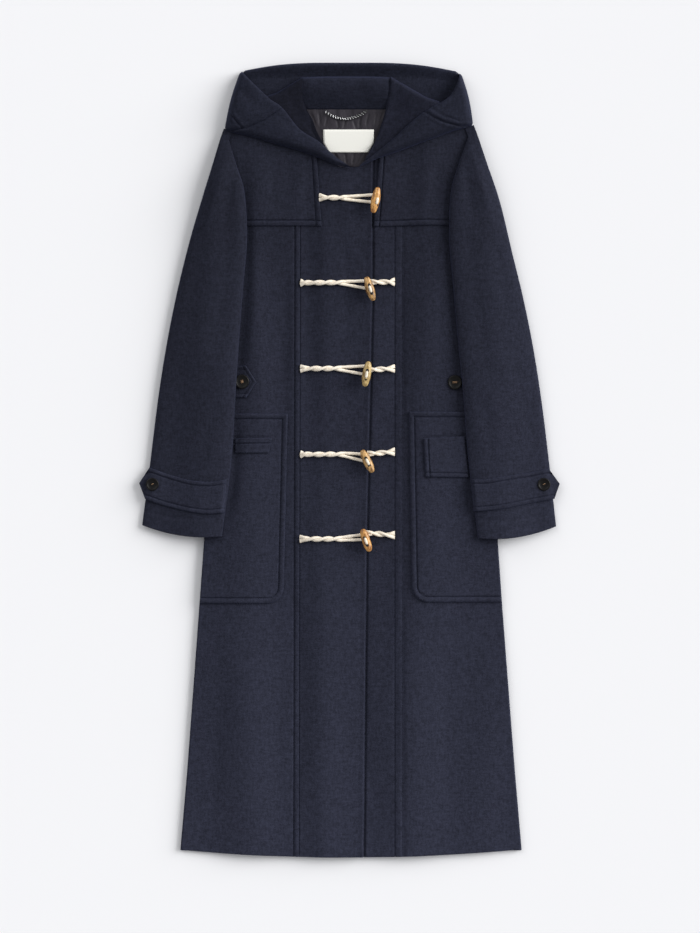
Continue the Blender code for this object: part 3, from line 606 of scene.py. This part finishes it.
# ------------ sleeves
def cover(x, y):
    """Height that a sleeve lies on: the body, then down to the table beyond its side."""
    outside = np.where(x < 0, along(SIDE_L, y) - x, x - along(SIDE_R, y))
    height = along(COVER, y) + base(x, y) + 0.5 * drape(x, y)
    away = ((x - WAIST_BUTTON_L[0]) ** 2 + (y - WAIST_BUTTON_L[1]) ** 2) / 60.0 ** 2
    height = height + np.where(x < 0, 4.6 * np.exp(-away), 0.0)
    return height * (1.0 - ease((outside - 1.5) / 70.0))


def tube_crown(s):
    """Top of the flattened tube over its middle, from the head down to the cuff."""
    return TUBE_LOW + 13.0 * ease(s / 0.22) * (1.0 - 0.38 * ease((s - 0.72) / 0.28))


def sleeve_folds(x, y, mirror):
    """Troughs and ridges of a sleeve that hangs from its head and bends a little at the elbow."""
    x = x * mirror
    side = 0.0 if mirror > 0 else 5.0
    ridges = ((-207 - side, 440, 7, 80, -17, 2.2), (-190 - side, 420, 8, 75, -13, -1.6),
              (-228, 180, 16, 90, -10, 1.3), (-282 + side, 60, 12, 80, -8, 1.1), (-214, 20, 14, 60, -6, 1.0))
    troughs = ((-186 - side, 470, -206, 250, 11.0, 1.3), (-236, 400, -262, 200, 10.0, 1.2),
               (-200, 300, -250 - side, 60, 16.0, 1.8), (-176, 250, -196 - side, -20, 9.0, 1.6),
               (-262, 180, -300, -10, 11.0, 1.1), (-210, 110, -246, -30, 12.0, 1.2))
    return relief(x, y, ridges, troughs)


def sleeve_skin(middle, unit, half, shares, inset, mirror, side, up):
    """Grid of one skin of the tube; side and up go round it, inset is the depth inside the cloth."""
    crown = tube_crown(shares)[:, None]
    wide = np.sign(side) * np.abs(side) ** 0.75 * np.maximum(half - inset, 0.4)
    # the tube is flat underneath and crowned on top
    upper = np.abs(up) ** 0.6 * np.maximum(crown - inset - 3.0, 0.3)
    lower = np.abs(up) ** 0.45 * np.maximum(TUBE_LOW - inset, 0.2)
    high = np.where(up >= 0, upper, -lower)
    x = middle[:, :1] + unit[:, :1] * wide
    y = middle[:, 1:] + unit[:, 1:] * wide
    s = shares[:, None] + 0 * x
    y = y - 8.0 * ease((s - 0.8) / 0.2) * (1.0 - (wide / half) ** 2)
    z = cover(x, y) + TUBE_LOW + high - 3.0 * (1.0 - ease(s / 0.06))
    z = z + sleeve_folds(x, y, mirror) * np.clip(up, 0, 1) ** 0.7 * ease(s / 0.08)
    # stitched hem at the cuff
    from_cuff = (1.0 - s) * 640.0
    z = z - np.where(up > 0.05, 1.1 * np.exp(-((from_cuff - 26.0) / 1.4) ** 2), 0)
    return np.stack((x, y, z), -1)


def sleeve(name, node, rows, mirror, cloth):
    """Tube of cloth with open ends along rows of outer and inner points; mirror is -1 on the right."""
    shares = np.concatenate((np.linspace(0, 0.9, 100), np.linspace(0.9, 1.0, 30)[1:]))
    points = smooth_rows([(*o, *i) for o, i in rows], shares)
    outer, inner = points[:, :2].copy(), points[:, 2:].copy()
    # the head runs on a little under the hood
    tucked = (1.0 - ease(shares / 0.03))[:, None]
    outer += tucked * np.array((3.0 * mirror, 7.0))
    inner += tucked * np.array((8.0 * mirror, 7.0))
    middle, reach = (outer + inner) / 2, (inner - outer) / 2
    half = np.linalg.norm(reach, axis=1)[:, None]
    unit = reach / half
    count = 110
    angle = 2 * math.pi * np.arange(count) / count
    skins = [sleeve_skin(middle, unit, half, shares, inset, mirror, np.cos(angle), np.sin(angle))
             for inset in (0.0, CLOTH)]
    n = len(shares)
    size = n * count
    faces = [quads(n, count, 0, wrap=True), quads(n, count, size, flip=True, wrap=True)]
    ring = np.arange(count)
    after = np.roll(ring, -1)
    head = np.stack((ring, ring + size, after + size, after), -1)
    faces += [head, head[:, ::-1] + (n - 1) * count]
    thing = mesh_from(name, np.concatenate([k.reshape(-1, 3) for k in skins]), np.concatenate(faces), cloth)
    girth = 2 * (float(half.max()) * 2 + 10.0) * MM
    declare(thing, node, "navy", (round(girth, 3), SLEEVE_CUT), round(girth * SLEEVE_CUT * SLEEVE_FILL, 4))


# the left sleeve's cloth carries painted shade
sleeve("cloth_sleeve_l", "sleeve_l", SLEEVE_L, 1.0, painted_shade_navy_left)
sleeve("cloth_sleeve_r", "sleeve_r", SLEEVE_R, -1.0, navy)


# ------------ patches between two rims
def patch(below, above, nu, nv, bunched):
    """Plan grid between two rims, with u and v shares; bunched puts more of them near its edges."""
    u, v = np.linspace(0, 1, nu), np.linspace(0, 1, nv)
    if bunched:
        u, v = 0.5 - 0.5 * np.cos(math.pi * u), 0.5 - 0.5 * np.cos(math.pi * v)
    a, b = smooth_rows(below, u), smooth_rows(above, u)
    grid = a[None] + (b - a)[None] * v[:, None, None]
    return grid[..., 0], grid[..., 1], u[None, :] + 0 * v[:, None], v[:, None] + 0 * u[None, :]


def line_distance(x, y, line):
    """Distance in plan from a chain of points."""
    best = np.full(x.shape, 1e9)
    for (x0, y0), (x1, y1) in zip(line, line[1:]):
        dx, dy = x1 - x0, y1 - y0
        t = np.clip(((x - x0) * dx + (y - y0) * dy) / (dx * dx + dy * dy), 0, 1)
        best = np.minimum(best, np.hypot(x - x0 - t * dx, y - y0 - t * dy))
    return best


def strap_top(x, y):
    return cover(x, y) + 12.4 + LIFT + CLOTH


def strap(name, node, below, above, outward):
    """Pointed strap across a cuff; outward is -1 on the left, 1 on the right."""
    x, y, u, v = patch(below, above, 110, 60, bunched=True)
    x = x + 13.0 * outward * (1.0 - np.abs(2.0 * v - 1.0)) * np.clip(1.0 - u / 0.06, 0, 1)
    # the far end runs on round the inner edge of the sleeve
    x = x - 3.5 * outward * ease((u - 0.9) / 0.1)
    from_side = np.minimum(v, 1 - v) * 50.0
    from_edge = np.minimum(from_side, u * 134.0 + 0.55 * from_side)
    out = np.abs(x) - np.where(x < 0, along(CUFF_OUT_L, y), along(CUFF_OUT_R, y))
    droop = 5.0 * ease((out + 12.0) / 20.0) + 7.5 * ease((u - 0.93) / 0.07) ** 2
    z = strap_top(x, y) + edge_form(from_edge, 6.5) - droop
    cloth_sheet(name, node, x, y, z, strap_top(x, y) - CLOTH - droop, navy)


strap("cloth_cuff_strap_l", "cuff_strap_l", STRAP_LOW_L, STRAP_HIGH_L, -1.0)
strap("cloth_cuff_strap_r", "cuff_strap_r", STRAP_LOW_R, STRAP_HIGH_R, 1.0)


# ------------ hood
def pile_low(x, y):
    """Height under the folded hood: the yokes, then down behind the shoulders."""
    floor_level = CLOTH + SEAM + 0.1
    on_yoke = yoke_top(x, y) + 0.6
    return floor_level + (on_yoke - floor_level) * (1.0 - ease((y - shoulder(x) - 3.0) / 30.0))


def fold_round(d, reach):
    """Quarter round from 0 at the edge to 1 at the distance reach."""
    t = np.clip(d / reach, 0, 1)
    return np.sqrt(np.maximum(0.0, 1.0 - (1.0 - t) ** 2))


def plan_edges(x, y):
    """Distances in plan from the low row, the first column and the last row of a grid."""
    low_edge = np.hypot(x - x[0][None], y - y[0][None])
    side_edge = np.hypot(x - x[:, :1], y - y[:, :1])
    far_edge = np.hypot(x - x[-1][None], y - y[-1][None])
    return low_edge, side_edge, far_edge


def wing(name, node, below, free, seams):
    """Folded side of the hood between its low rim and its free rim; seams have a line and a depth."""
    x, y, u, v = patch(below, free, 150, 120, bunched=True)
    out = np.sign(below[0][0])
    # the side of the hood bulges a little and its corners are round
    x = x + out * 3.5 * np.sin(math.pi * v) * (1.0 - u) ** 6
    corner = np.clip(1.0 - v / 0.07, 0, 1) ** 2 + 0.8 * np.clip(1.0 - (1.0 - v) / 0.06, 0, 1) ** 2
    x = x - out * 3.6 * corner * (1.0 - u) ** 30
    low = pile_low(x, y)
    low_edge, side_edge, free_edge = plan_edges(x, y)
    arch = 0.35 + 0.65 * np.sin(math.pi * np.clip(0.14 + 0.76 * v, 0, 1)) ** 0.8
    crown = 16.5 + 12.5 * arch * (1.0 - 0.5 * ease((u - 0.45) / 0.55))
    crown = crown * (0.72 + 0.28 * fold_round(side_edge, 40.0)) + 2.4 * ease((v - 0.7) / 0.3) * (1 - u)
    crown = np.maximum(crown, low + 5.5)
    rounding = fold_round(low_edge + 0.2, 10.0) * fold_round(side_edge + 0.2, 12.0)
    z = low + (crown - low) * (0.08 + 0.92 * rounding)
    z = z - 3.2 * (1.0 - fold_round(free_edge, 5.0)) * (1.0 - 0.6 * ease((u - 0.6) / 0.4))
    for line, depth in seams:
        d = line_distance(x, y, line)
        z = z - 1.3 * depth * np.exp(-(d / 1.25) ** 2) + 0.45 * depth * np.exp(-((d - 4.5) / 2.6) ** 2)
    z = z + relief(x, y, (), WING_FOLDS)
    under = np.maximum(low, z - 4.0)
    # the outer side is closed down to the cloth behind it
    closed = 1.0 - ease((side_edge - 2.0) / 5.0)
    under = np.minimum(under * (1.0 - closed) + 0.9 * closed, z - 0.5)
    cloth_sheet(name, node, x, y, z, under, painted_shade_navy_hood)


# soft dents in the hood folds: from x, y to x, y, width, depth
WING_FOLDS = ((-176, 600, -150, 556, 9.0, 1.3), (-118, 548, -60, 506, 9.0, 1.2),
              (-96, 512, -40, 484, 6.0, 0.9), (178, 596, 160, 556, 8.0, 1.3),
              (120, 530, 66, 496, 9.0, 1.2), (150, 556, 112, 534, 7.0, -0.8))
# seams of the hood's sides: points, depth
WING_SEAMS_L = ((((-104, 563), (-136, 541), (-164, 529), (-197, 524)), 2.0),
                (((-112, 567), (-136, 552), (-168, 537)), 0.9), (((-193, 557), (-170, 529)), 1.5))
WING_SEAMS_R = ((((122, 555), (136, 546), (153, 538), (178, 532), (199, 533)), 2.0),
                (((134, 560), (150, 549), (176, 540)), 0.8))

wing("cloth_hood_side_l", "hood_side_l", WING_LOW_L, WING_FREE_L, WING_SEAMS_L)
wing("cloth_hood_side_r", "hood_side_r", WING_LOW_R, WING_FREE_R, WING_SEAMS_R)


def throat(name, node, free, neck, push, swell, cloth):
    """Inner side of the hood; swell lifts its neck edge over the roll."""
    x, y, u, v = patch(free, neck, 90, 70, bunched=False)
    # the strip tucks in under the free edge
    x = x + push - 9.0 * (1.0 - ease(v / 0.25)) * np.sign(push)
    ridge = 1.0 - ease(u / 0.45)
    z = 16.0 + 7.0 * ridge + 4.5 * (1.0 - v) * (1.0 - ridge) * (1.0 - 0.6 * u)
    z = z - 2.4 * np.sin(math.pi * np.clip(v, 0, 1)) * np.clip(u / 0.25, 0, 1)
    top_edge, neck_edge = plan_edges(x, y)[1:]
    low = pile_low(x, y)
    z = low + (z - low) * (0.1 + 0.9 * fold_round(top_edge + 0.2, 7.0))
    z = z + swell * (1.0 - ease(neck_edge / 18.0)) * ridge
    z = z - 4.0 * (1.0 - fold_round(neck_edge, 5.0 if swell else 12.0)) * (1.0 - 0.5 * ridge)
    z = np.maximum(z, low + 0.6)
    under = np.minimum(np.maximum(low, z - CLOTH), z - 0.4)
    cloth_sheet(name, node, x, y, z, under, cloth)


throat("cloth_hood_throat_l", "hood_throat_l", THROAT_FREE_L, THROAT_NECK_L, 0.6, 0.0, shaded_navy)
throat("cloth_hood_throat_r", "hood_throat_r", THROAT_FREE_R, THROAT_NECK_R, -0.6, 2.5, painted_shade_navy_throat)


def hood_wall():
    """The hood lying open behind the neck, its rim standing up round a hollow."""
    rows = np.concatenate((np.linspace(372, 520, 30), np.linspace(522, HOOD_TOP, 80)))
    down = np.maximum(0, HOOD_WIDE_Y - rows) / HOOD_DEEP
    half = np.where(rows < HOOD_WIDE_Y, (HOOD_HALF - 2) * np.maximum(0.05, 1 - down ** 2.5) ** 0.4,
                    HOOD_HALF - 2.0 - 21.0 * (np.maximum(rows - HOOD_WIDE_Y, 0) / 105.0) ** 1.5)
    half = half - 5.0 * np.clip((rows - 622.0) / 13.0, 0, 1) ** 2
    u = np.linspace(-1, 1, 140)
    x = half[:, None] * u + 3.0 * (rows[:, None] > HOOD_WIDE_Y)
    share = np.clip((np.abs(x) - 40.0) / 130.0, 0, 1)
    droop = 13.0 * share ** 2.2 * np.clip((rows[:, None] - 590.0) / 45.0, 0, 1)
    y = rows[:, None] - droop
    inward = HOOD_TOP - rows[:, None] + 0 * x
    rim = np.minimum(inward, half[:, None] - np.abs(x - 3.0)) + 0 * x
    z = 1.0 + CLOTH + 11.0 * (1.0 - ease(inward / 24.0)) * (1.0 - 0.45 * ease((np.abs(x) - 100.0) / 60.0))
    z = z - 6.0 * (1.0 - fold_round(np.maximum(rim, 0), 6.0)) * (1.0 - ease(inward / 20.0))
    dents = ((-60, 618, 40, 9, 0, 0.8), (70, 616, 30, 8, 0, 0.8), (10, 622, 26, 7, 0, -0.7))
    z = z + relief(x, y, dents, ())
    under = np.maximum(z - CLOTH - 0.6, 0.0)
    cloth_sheet("cloth_hood_back", "hood_back", x, y, z + edge_form(np.maximum(rim, 0), 0), under, painted_light_navy_hood_back)


hood_wall()


def hood_roll():
    """Roll of cloth that stands above the neck seam; its ends run in under the sides of the hood."""
    profile = ((560.4, 8.0), (566, 11.0), (577, 17.0), (589, 21.6), (598, 23.0), (606, 22.0), (610, 18.5),
               (612.5, 12.0))
    ys = np.concatenate((np.linspace(560.4, 598, 40), np.linspace(599, 612.5, 34)))
    xs = np.linspace(-77.0, 71.5, 110)
    x, y = np.meshgrid(xs, ys)
    z = averaged(along(profile, ys), 3)[:, None] + 0 * x
    dents = ((-34, 588, 26, 15, 0, 1.2), (20, 582, 18, 20, 0, -0.9), (44, 596, 14, 12, 0, 0.8),
             (-71, 590, 5, 24, 0, -1.6), (68, 580, 5, 30, 0, -3.2))
    z = z + relief(x, y, dents, ())
    z = z - 2.5 * (1.0 - ease(np.minimum(x + 77.0, 71.5 - x) / 7.0))
    y = y - 1.5 * (np.clip(np.abs(x + 3) / 74.0, 0, 1) ** 3) * ease((y - 590.0) / 20.0)
    z = z + edge_form(y - 560.4, 0, 2.0)
    under = np.maximum(z - 4.0, CLOTH + SEAM + 0.1)
    cloth_sheet("cloth_hood_neck", "hood_neck", x, y, z, under, painted_shade_navy_hood)


hood_roll()

# ------------ neck inside
LEVEL = float(base(np.array(0.0), np.array(NECK_Y))) + CLOTH
ON_LINING = LEVEL + SEAM + LINING + 0.3


# puckers of the lining below the neck seam and below the label: x, y to x, y, width, depth
PUCKERS = ((-62, 558, -52, 528, 2.2, 1.3), (-48, 558, -46, 532, 1.8, 1.0), (-33, 556, -39, 529, 2.0, 1.5),
           (-20, 548, -16, 528, 1.8, 1.1), (-5, 546, -9, 527, 2.2, 1.6), (7, 545, 13, 528, 1.7, 1.2),
           (20, 550, 17, 529, 2.0, 1.4), (33, 556, 28, 530, 1.8, 1.3), (46, 557, 43, 531, 2.2, 1.5),
           (57, 558, 50, 540, 1.8, 0.9), (-24, 492, -14, 470, 2.4, 1.5), (-6, 492, -4, 469, 2.0, 1.3),
           (10, 492, 6, 469, 2.0, 1.5), (24, 492, 14, 471, 2.2, 1.3))


LINING_L = ((468, -14), (496, -46), (528, -62), (560, -76))
LINING_R = ((468, 22), (515, 47), (545, 60), (560, 70))


def quilt(x, y):
    z = LEVEL + SEAM + LINING + 0.5 + 0.25 * np.sin(x / 3.4 + 1.3 * np.sin(y / 19.0))
    return z + 0.3 * np.sin(x / 8.1 + y / 13.0) + relief(x, y, (), PUCKERS)


panel("cloth_lining", "back_lining", lining, on(LINING_L), on(LINING_R), level(468.5), level(560.3),
      quilt, 1.2, PLAIN, 130, 60, slot_name="lining", rims=(0.3, 0.3, 0.3, 0.3))


def label_piece():
    """Bare neck label, narrower along its lower edge."""
    ys = np.array([491.5, 493.5, 497.0, 501.0, 505.0, 507.0, 512.0, 518.0, 524.0, 528.0])
    half = along(((491.5, 31.5), (507.0, 40.5), (528.0, 40.5)), ys)
    u = np.linspace(-1, 1, 24)
    x = half[:, None] * u
    y = ys[:, None] + 0 * x
    z = ON_LINING + 0.6 + 0.9 + 0.25 * np.sin(x / 17.0) + 0 * y
    thing = shell("label_patch", np.stack((x, y, z), -1), np.stack((x, y, z - 0.7), -1), paper)
    declare(thing, "label", "label", (0.081, 0.0365), 0.081 * 0.0365 * 0.97)


label_piece()


def torus_points(centre, ahead, rise, long, wide, thick, turns=14, ring=6):
    """Oval link: ahead is its long direction, rise the direction of its short one."""
    a = 2 * math.pi * np.arange(turns) / turns
    b = 2 * math.pi * np.arange(ring) / ring
    normal = np.cross(ahead, rise)
    pts = []
    for t in a:
        core = centre + ahead * math.cos(t) * long + rise * math.sin(t) * wide
        out = ahead * math.cos(t) + rise * math.sin(t)
        for q in b:
            pts.append(core + (out * math.cos(q) + normal * math.sin(q)) * thick)
    return np.array(pts), quads(turns + 1, ring, 0, flip=True, wrap=True) % len(pts)


# kinds of link: name, material, shift along, slant in degrees, half length, half width, wire, height
LINKS = (("neck_chain", steel, 0.0, 62.0, 2.1, 0.50, 0.38, 3.1),
         ("neck_chain_dark", black, 0.5, -50.0, 1.9, 0.9, 0.75, 2.6))


def chain():
    """Slanted bright links with dark ones between, sagging between two sewn ends."""
    links = 17
    for name, mat, shift, slant, long, wide, wire, high in LINKS:
        points, faces, count = [], [], 0
        for k in range(links):
            s = (k + 0.5 + shift) / links
            x = -38.0 + 66.0 * s
            y = 557.0 - 12.0 * (1.0 - (2 * s - 1) ** 2)
            slope = 48.0 * (2 * s - 1) / 66.0
            lean = math.atan(slope) - math.radians(slant)
            ahead = np.array((math.cos(lean), math.sin(lean), 0.0))
            across = np.array((-math.sin(lean), math.cos(lean), 0.0))
            p, f = torus_points(np.array((x, y, ON_LINING + high)), ahead, across, long, wide, wire)
            points.append(p)
            faces.append(f + count)
            count += len(p)
        thing = mesh_from(name, np.concatenate(points), np.concatenate(faces), mat)
        declare(thing, "hanger_chain", "chain")


chain()


# ------------ cords and toggles
def capped(rings, start=0):
    """Points and faces of a closed tube; a point in the middle of each end ring closes it."""
    n, count = rings.shape[:2]
    first = start + np.arange(count)
    after = np.roll(first, -1)
    hub = np.full(count, start + n * count)
    last = (n - 1) * count
    faces = np.concatenate((quads(n, count, start, wrap=True), np.stack((hub, after, first, first), -1),
                            np.stack((hub + 1, last + first, last + after, last + after), -1)))
    return np.concatenate((rings.reshape(-1, 3), [rings[0].mean(axis=0), rings[-1].mean(axis=0)])), faces


def strand(paths, ring=12):
    """Points and faces of capped tubes; each path has its points and its radii across and in height."""
    points, faces, count = [], [], 0
    turn = 2 * math.pi * np.arange(ring) / ring
    for path, wide, tall in paths:
        path = np.asarray(path, dtype=float)
        n = len(path)
        step = np.gradient(path, axis=0)
        step /= np.linalg.norm(step, axis=1)[:, None]
        side = np.cross(step, np.array((0, 0, 1.0)))
        side /= np.maximum(np.linalg.norm(side, axis=1)[:, None], 1e-6)
        lift = np.cross(side, step)
        across = (wide * np.ones(n))[:, None, None] * np.cos(turn)[None, :, None] * side[:, None]
        upward = (tall * np.ones(n))[:, None, None] * np.sin(turn)[None, :, None] * lift[:, None]
        tube, skin = capped(path[:, None] + across + upward, count)
        points.append(tube)
        faces.append(skin)
        count += len(tube)
    return np.concatenate(points), np.concatenate(faces)


def cord_height(x, y):
    """Height of the front under a cord, which bridges small steps."""
    span = np.array([-7.0, 0.0, 7.0])
    return np.max([front_top(x + k, y) for k in span], axis=0)


def twisted(start, part, end, y_start, y_part, y_up, y_down):
    """Two soft strands from a flared sewn end, loosely twisted as far as part, then spread to the toggle."""
    n = 150
    way = 1.0 if end > start else -1.0
    x = np.linspace(start, end, n)
    travel = np.abs(x - start)
    ahead = (part - x) * way
    phi = 2 * math.pi * np.maximum(ahead, 0.0) / TURN
    centre = y_start + (y_part - y_start) * ease(travel / abs(part - start))
    after = np.clip(-ahead / max(abs(end - part), 1.0), 0, 1)
    flare = 1.0 - ease(travel / 8.0)
    first = 1.0 if math.cos(phi[0]) >= 0 else -1.0
    floor_z = cord_height(x, centre)
    out = []
    for sign, y_end in ((1.0, y_up), (-1.0, y_down)):
        swing = sign * 2.1 * np.cos(phi) * (1.0 - flare) + flare * sign * first * 3.7
        y = centre + swing + (y_end - y_part - sign * 2.1) * after
        y = averaged(y, 5)
        z = floor_z + 0.9 * STRAND + 1.7 * (1.0 + sign * np.sin(phi)) * (ahead > 0) * (1.0 - flare)
        z = averaged(z, 4) - 0.5 * flare
        wide = STRAND * (1.0 + 0.05 * np.sin(travel / 3.1 + sign)) * (1.0 + 0.28 * flare)
        out.append((np.stack((x, y, z), -1), wide, 0.9 * STRAND * (1.0 - 0.3 * flare)))
    return out


def toggle_solid(x0, y0, z0, lean, length, seed):
    """Turned toggle, flattened, a little uneven, along the coat's length."""
    half, count, n = 0.5 * length, 32, 60
    s = np.linspace(-1, 1, n)
    r = 6.9 * (1.0 - 0.50 * np.abs(s) ** 2.1) * np.sqrt(np.clip(1 - (np.abs(s) ** 18), 0.03, 1))
    r = r * (1 + 0.035 * np.sin(5 * s + seed) + 0.02 * np.sin(13 * s + 2 * seed))
    a = 2 * math.pi * np.arange(count) / count
    x = r[:, None] * np.cos(a)
    z = 0.86 * r[:, None] * np.sin(a)
    y = (s * half)[:, None] + 0 * x
    # shallow saddle round the cord
    dip = np.exp(-(y / 7.5) ** 2) * np.exp(-((a - math.pi / 2) / 0.5) ** 2)
    z = z - 0.9 * dip
    turn = math.radians(lean)
    px = x0 + x * math.cos(turn) - y * math.sin(turn)
    py = y0 + x * math.sin(turn) + y * math.cos(turn)
    return capped(np.stack((px, py, z0 + z), -1))


def disc(centre, radius, lean, long, count=18):
    """Ring of points, longer by the factor long in the direction of the lean."""
    a = 2 * math.pi * np.arange(count) / count
    turn = math.radians(lean)
    x, y = radius * np.cos(a), radius * long * np.sin(a)
    px = centre[0] + x * math.cos(turn) - y * math.sin(turn)
    py = centre[1] + x * math.sin(turn) + y * math.cos(turn)
    return np.stack((px, py, np.full(count, centre[2])), -1)


def turned(name, rings, mat, smooth):
    """Solid through a stack of rings, closed by a flat face at each end."""
    count = len(rings[0])
    ring = np.arange(count)
    faces = [*quads(len(rings), count, 0, wrap=True), ring[::-1], (len(rings) - 1) * count + ring]
    return mixed_mesh(name, np.concatenate(rings), faces, mat, smooth)


def dome(name, x, y, z, radius, height, lean, long, mat):
    """Low rounded bead, used as the dark mouths of holes: painted shade inside the holes."""
    rings = [disc((x, y, z - 1.0), radius, lean, long)]
    for t in (0.0, 0.5, 1.0, 1.4):
        rings.append(disc((x, y, z + height * math.sin(t)), radius * math.cos(t), lean, long))
    return turned(name, rings, mat, smooth=False)


def build_cords(k, number, tx):
    sewn_x, sewn_y, part, y_up, y_down = LOOPS[k]
    middle = sewn_y if k else 0.5 * (y_up + y_down) + 1.0
    loop = strand(twisted(sewn_x, part, tx, sewn_y, middle, y_up, y_down))
    declare(mixed_mesh("cord_loop_" + number, *loop, rope), "toggle_loop_" + number, "cord")
    if CORDS[k] is not None:
        y_sewn, y_end = CORDS[k]
        cord = strand(twisted(CORD_END, tx + 3.0, tx, y_sewn, y_end, y_end + 2.3, y_end - 2.3))
        declare(mixed_mesh("cord_right_" + number, *cord, rope), "toggle_cord_" + number, "cord")


def build_tie(number, tx, ty, z0, lean, shift):
    """Two holes in the toggle, shown as dark beads of painted shade, and the short stretch of cord between
    them.
    """
    turn = math.radians(lean)
    across = np.array((math.cos(turn), math.sin(turn)))
    ahead = np.array((-math.sin(turn), math.cos(turn)))
    centre = np.array((tx, ty)) + across * shift - ahead * 1.0
    fall = 0.16 * shift ** 2
    for m, reach in enumerate((6.3, -6.6)):
        x, y = centre + ahead * reach
        # each hole is a flat dark bead of painted shade
        mouth = dome("toggle_hole_%s_%d" % (number, m), x, y, z0 + 5.15 - fall, 2.5, 0.3, lean, 1.2, hole_painted_shade)
        declare(mouth, "toggle_" + number, "toggle")
    s = np.linspace(-1, 1, 16)
    height = z0 + 4.8 - fall + 1.6 * (1 - s ** 4)
    path = np.stack((centre[0] + ahead[0] * s * 5.0, centre[1] + ahead[1] * s * 5.0, height), -1)
    tie = strand([(path, 2.2 * np.sqrt(1.02 - s ** 6), 1.7)])
    declare(mixed_mesh("toggle_tie_" + number, *tie, rope), "toggle_" + number, "cord")


def build_toggle(k):
    tx, ty, lean, length, warm, shift = TOGGLES[k]
    number = str(k + 1)
    build_cords(k, number, tx)
    z0 = float(cord_height(np.array(float(tx)), np.array(float(ty)))) + 2 * STRAND + 0.4 + 0.86 * 7.0
    if k == 0:
        z0 += LIFT + CLOTH
    wood = orange_wood if warm > 0.6 else brown_wood if warm > 0.2 else olive_wood
    body = mixed_mesh("toggle_body_" + number, *toggle_solid(tx, ty, z0, lean, length, 1.0 + k), wood)
    declare(body, "toggle_" + number, "toggle")
    build_tie(number, tx, ty, z0, lean, shift)


for k in range(len(TOGGLES)):
    build_toggle(k)


# ------------ buttons
# turned profile of a button: height in millimetres, share of the radius
BUTTON_PROFILE = ((0.0, 0.86), (0.5, 1.0), (2.6, 1.0), (3.3, 0.93), (3.4, 0.84), (2.9, 0.74), (2.3, 0.62),
                  (2.2, 0.3), (2.2, 0.02))


def button(name, node, x0, y0, z0, radius, bars):
    """Dished button with the bars of thread that hold it."""
    rings = [disc((x0, y0, z0 + h), radius * r, 0.0, 1.0, 40) for h, r in BUTTON_PROFILE]
    declare(turned(name, rings, horn, smooth=True), node, "button")
    for m, (bx, by, angle, length) in enumerate(bars):
        s = np.linspace(-1, 1, 8)
        way = math.radians(angle)
        px = x0 + bx + math.cos(way) * s * length
        py = y0 + by + math.sin(way) * s * length
        bar = strand([(np.stack((px, py, z0 + 2.5 + 0.5 * (1 - s ** 2)), -1), 0.6, 0.55)], 6)
        declare(mixed_mesh("%s_thread_%d" % (name, m), *bar, thread), node, "button")


# bars of thread: x and y from the middle, direction in degrees, half length
STAR = ((0, 0, 20, 2.6), (0, 0, 80, 2.8), (0, 0, 140, 2.6))
PAIR = ((0, 0.9, 0, 4.0), (0, -0.7, 4, 3.8))
FAINT = ((0, 0.5, 30, 2.0),)
for node, place, lift, marks in (("waist_button_l", WAIST_BUTTON_L, LIFT + CLOTH, STAR),
                                 ("waist_button_r", WAIST_BUTTON_R, 0.0, PAIR)):
    seat = float(front_top(np.array(place[0]), np.array(place[1]))) + lift + 0.6
    button("button_waist" + node[-2:], node, *place, seat, 11.5, marks)
for node, x0 in (("cuff_button_l", -313.0), ("cuff_button_r", 312.0)):
    # the strap droops a little under its button
    seat = float(strap_top(np.array(x0), np.array(CUFF_BUTTON_Y))) - 1.4
    button("button_button" + node[-2:], node, x0, CUFF_BUTTON_Y, seat, 10.3, FAINT)

# ------------ stage, light, camera
TABLE_SIZE, TABLE_Z = 14.0, -0.0006
floor_mat = new_material("pale_floor", (0.895, 0.895, 0.912), 0.95)[0]
bpy.ops.mesh.primitive_plane_add(size=TABLE_SIZE, location=(0, 0, TABLE_Z))
table_top = bpy.context.object
table_top.name = "table"
table_top.data.materials.append(floor_mat)

world = bpy.data.worlds.new("studio")
bpy.context.scene.world = world
world.use_nodes = True
set_inputs(world.node_tree.nodes["Background"], {"Color": (0.97, 0.98, 1.0, 1.0), "Strength": 0.40})


def soft_sun(name, toward, spread_degrees, strength):
    """Even studio light from the direction toward, as wide as spread_degrees."""
    data = bpy.data.lights.new(name, "SUN")
    data.angle = math.radians(spread_degrees)
    data.energy = strength
    put(name, data).rotation_euler = Vector(toward).to_track_quat("Z", "Y").to_euler()


soft_sun("key", (0.90, 0.34, 0.44), 46.0, 3.75)
soft_sun("fill", (-0.70, 0.70, 0.70), 50.0, 0.75)

# the camera looks straight down; FIELD is the height of the picture on the table, in metres
DISTANCE, FIELD, FILM = 6.0, 1.493, 36.0
cam_data = bpy.data.cameras.new("camera")
cam_data.lens = FILM * DISTANCE / FIELD
camera = put("camera", cam_data)
camera.location = (0.0024, -0.0104, DISTANCE)
camera.rotation_euler = (0, 0, 0)
bpy.context.scene.camera = camera
bpy.context.scene.view_settings.view_transform = "Standard"
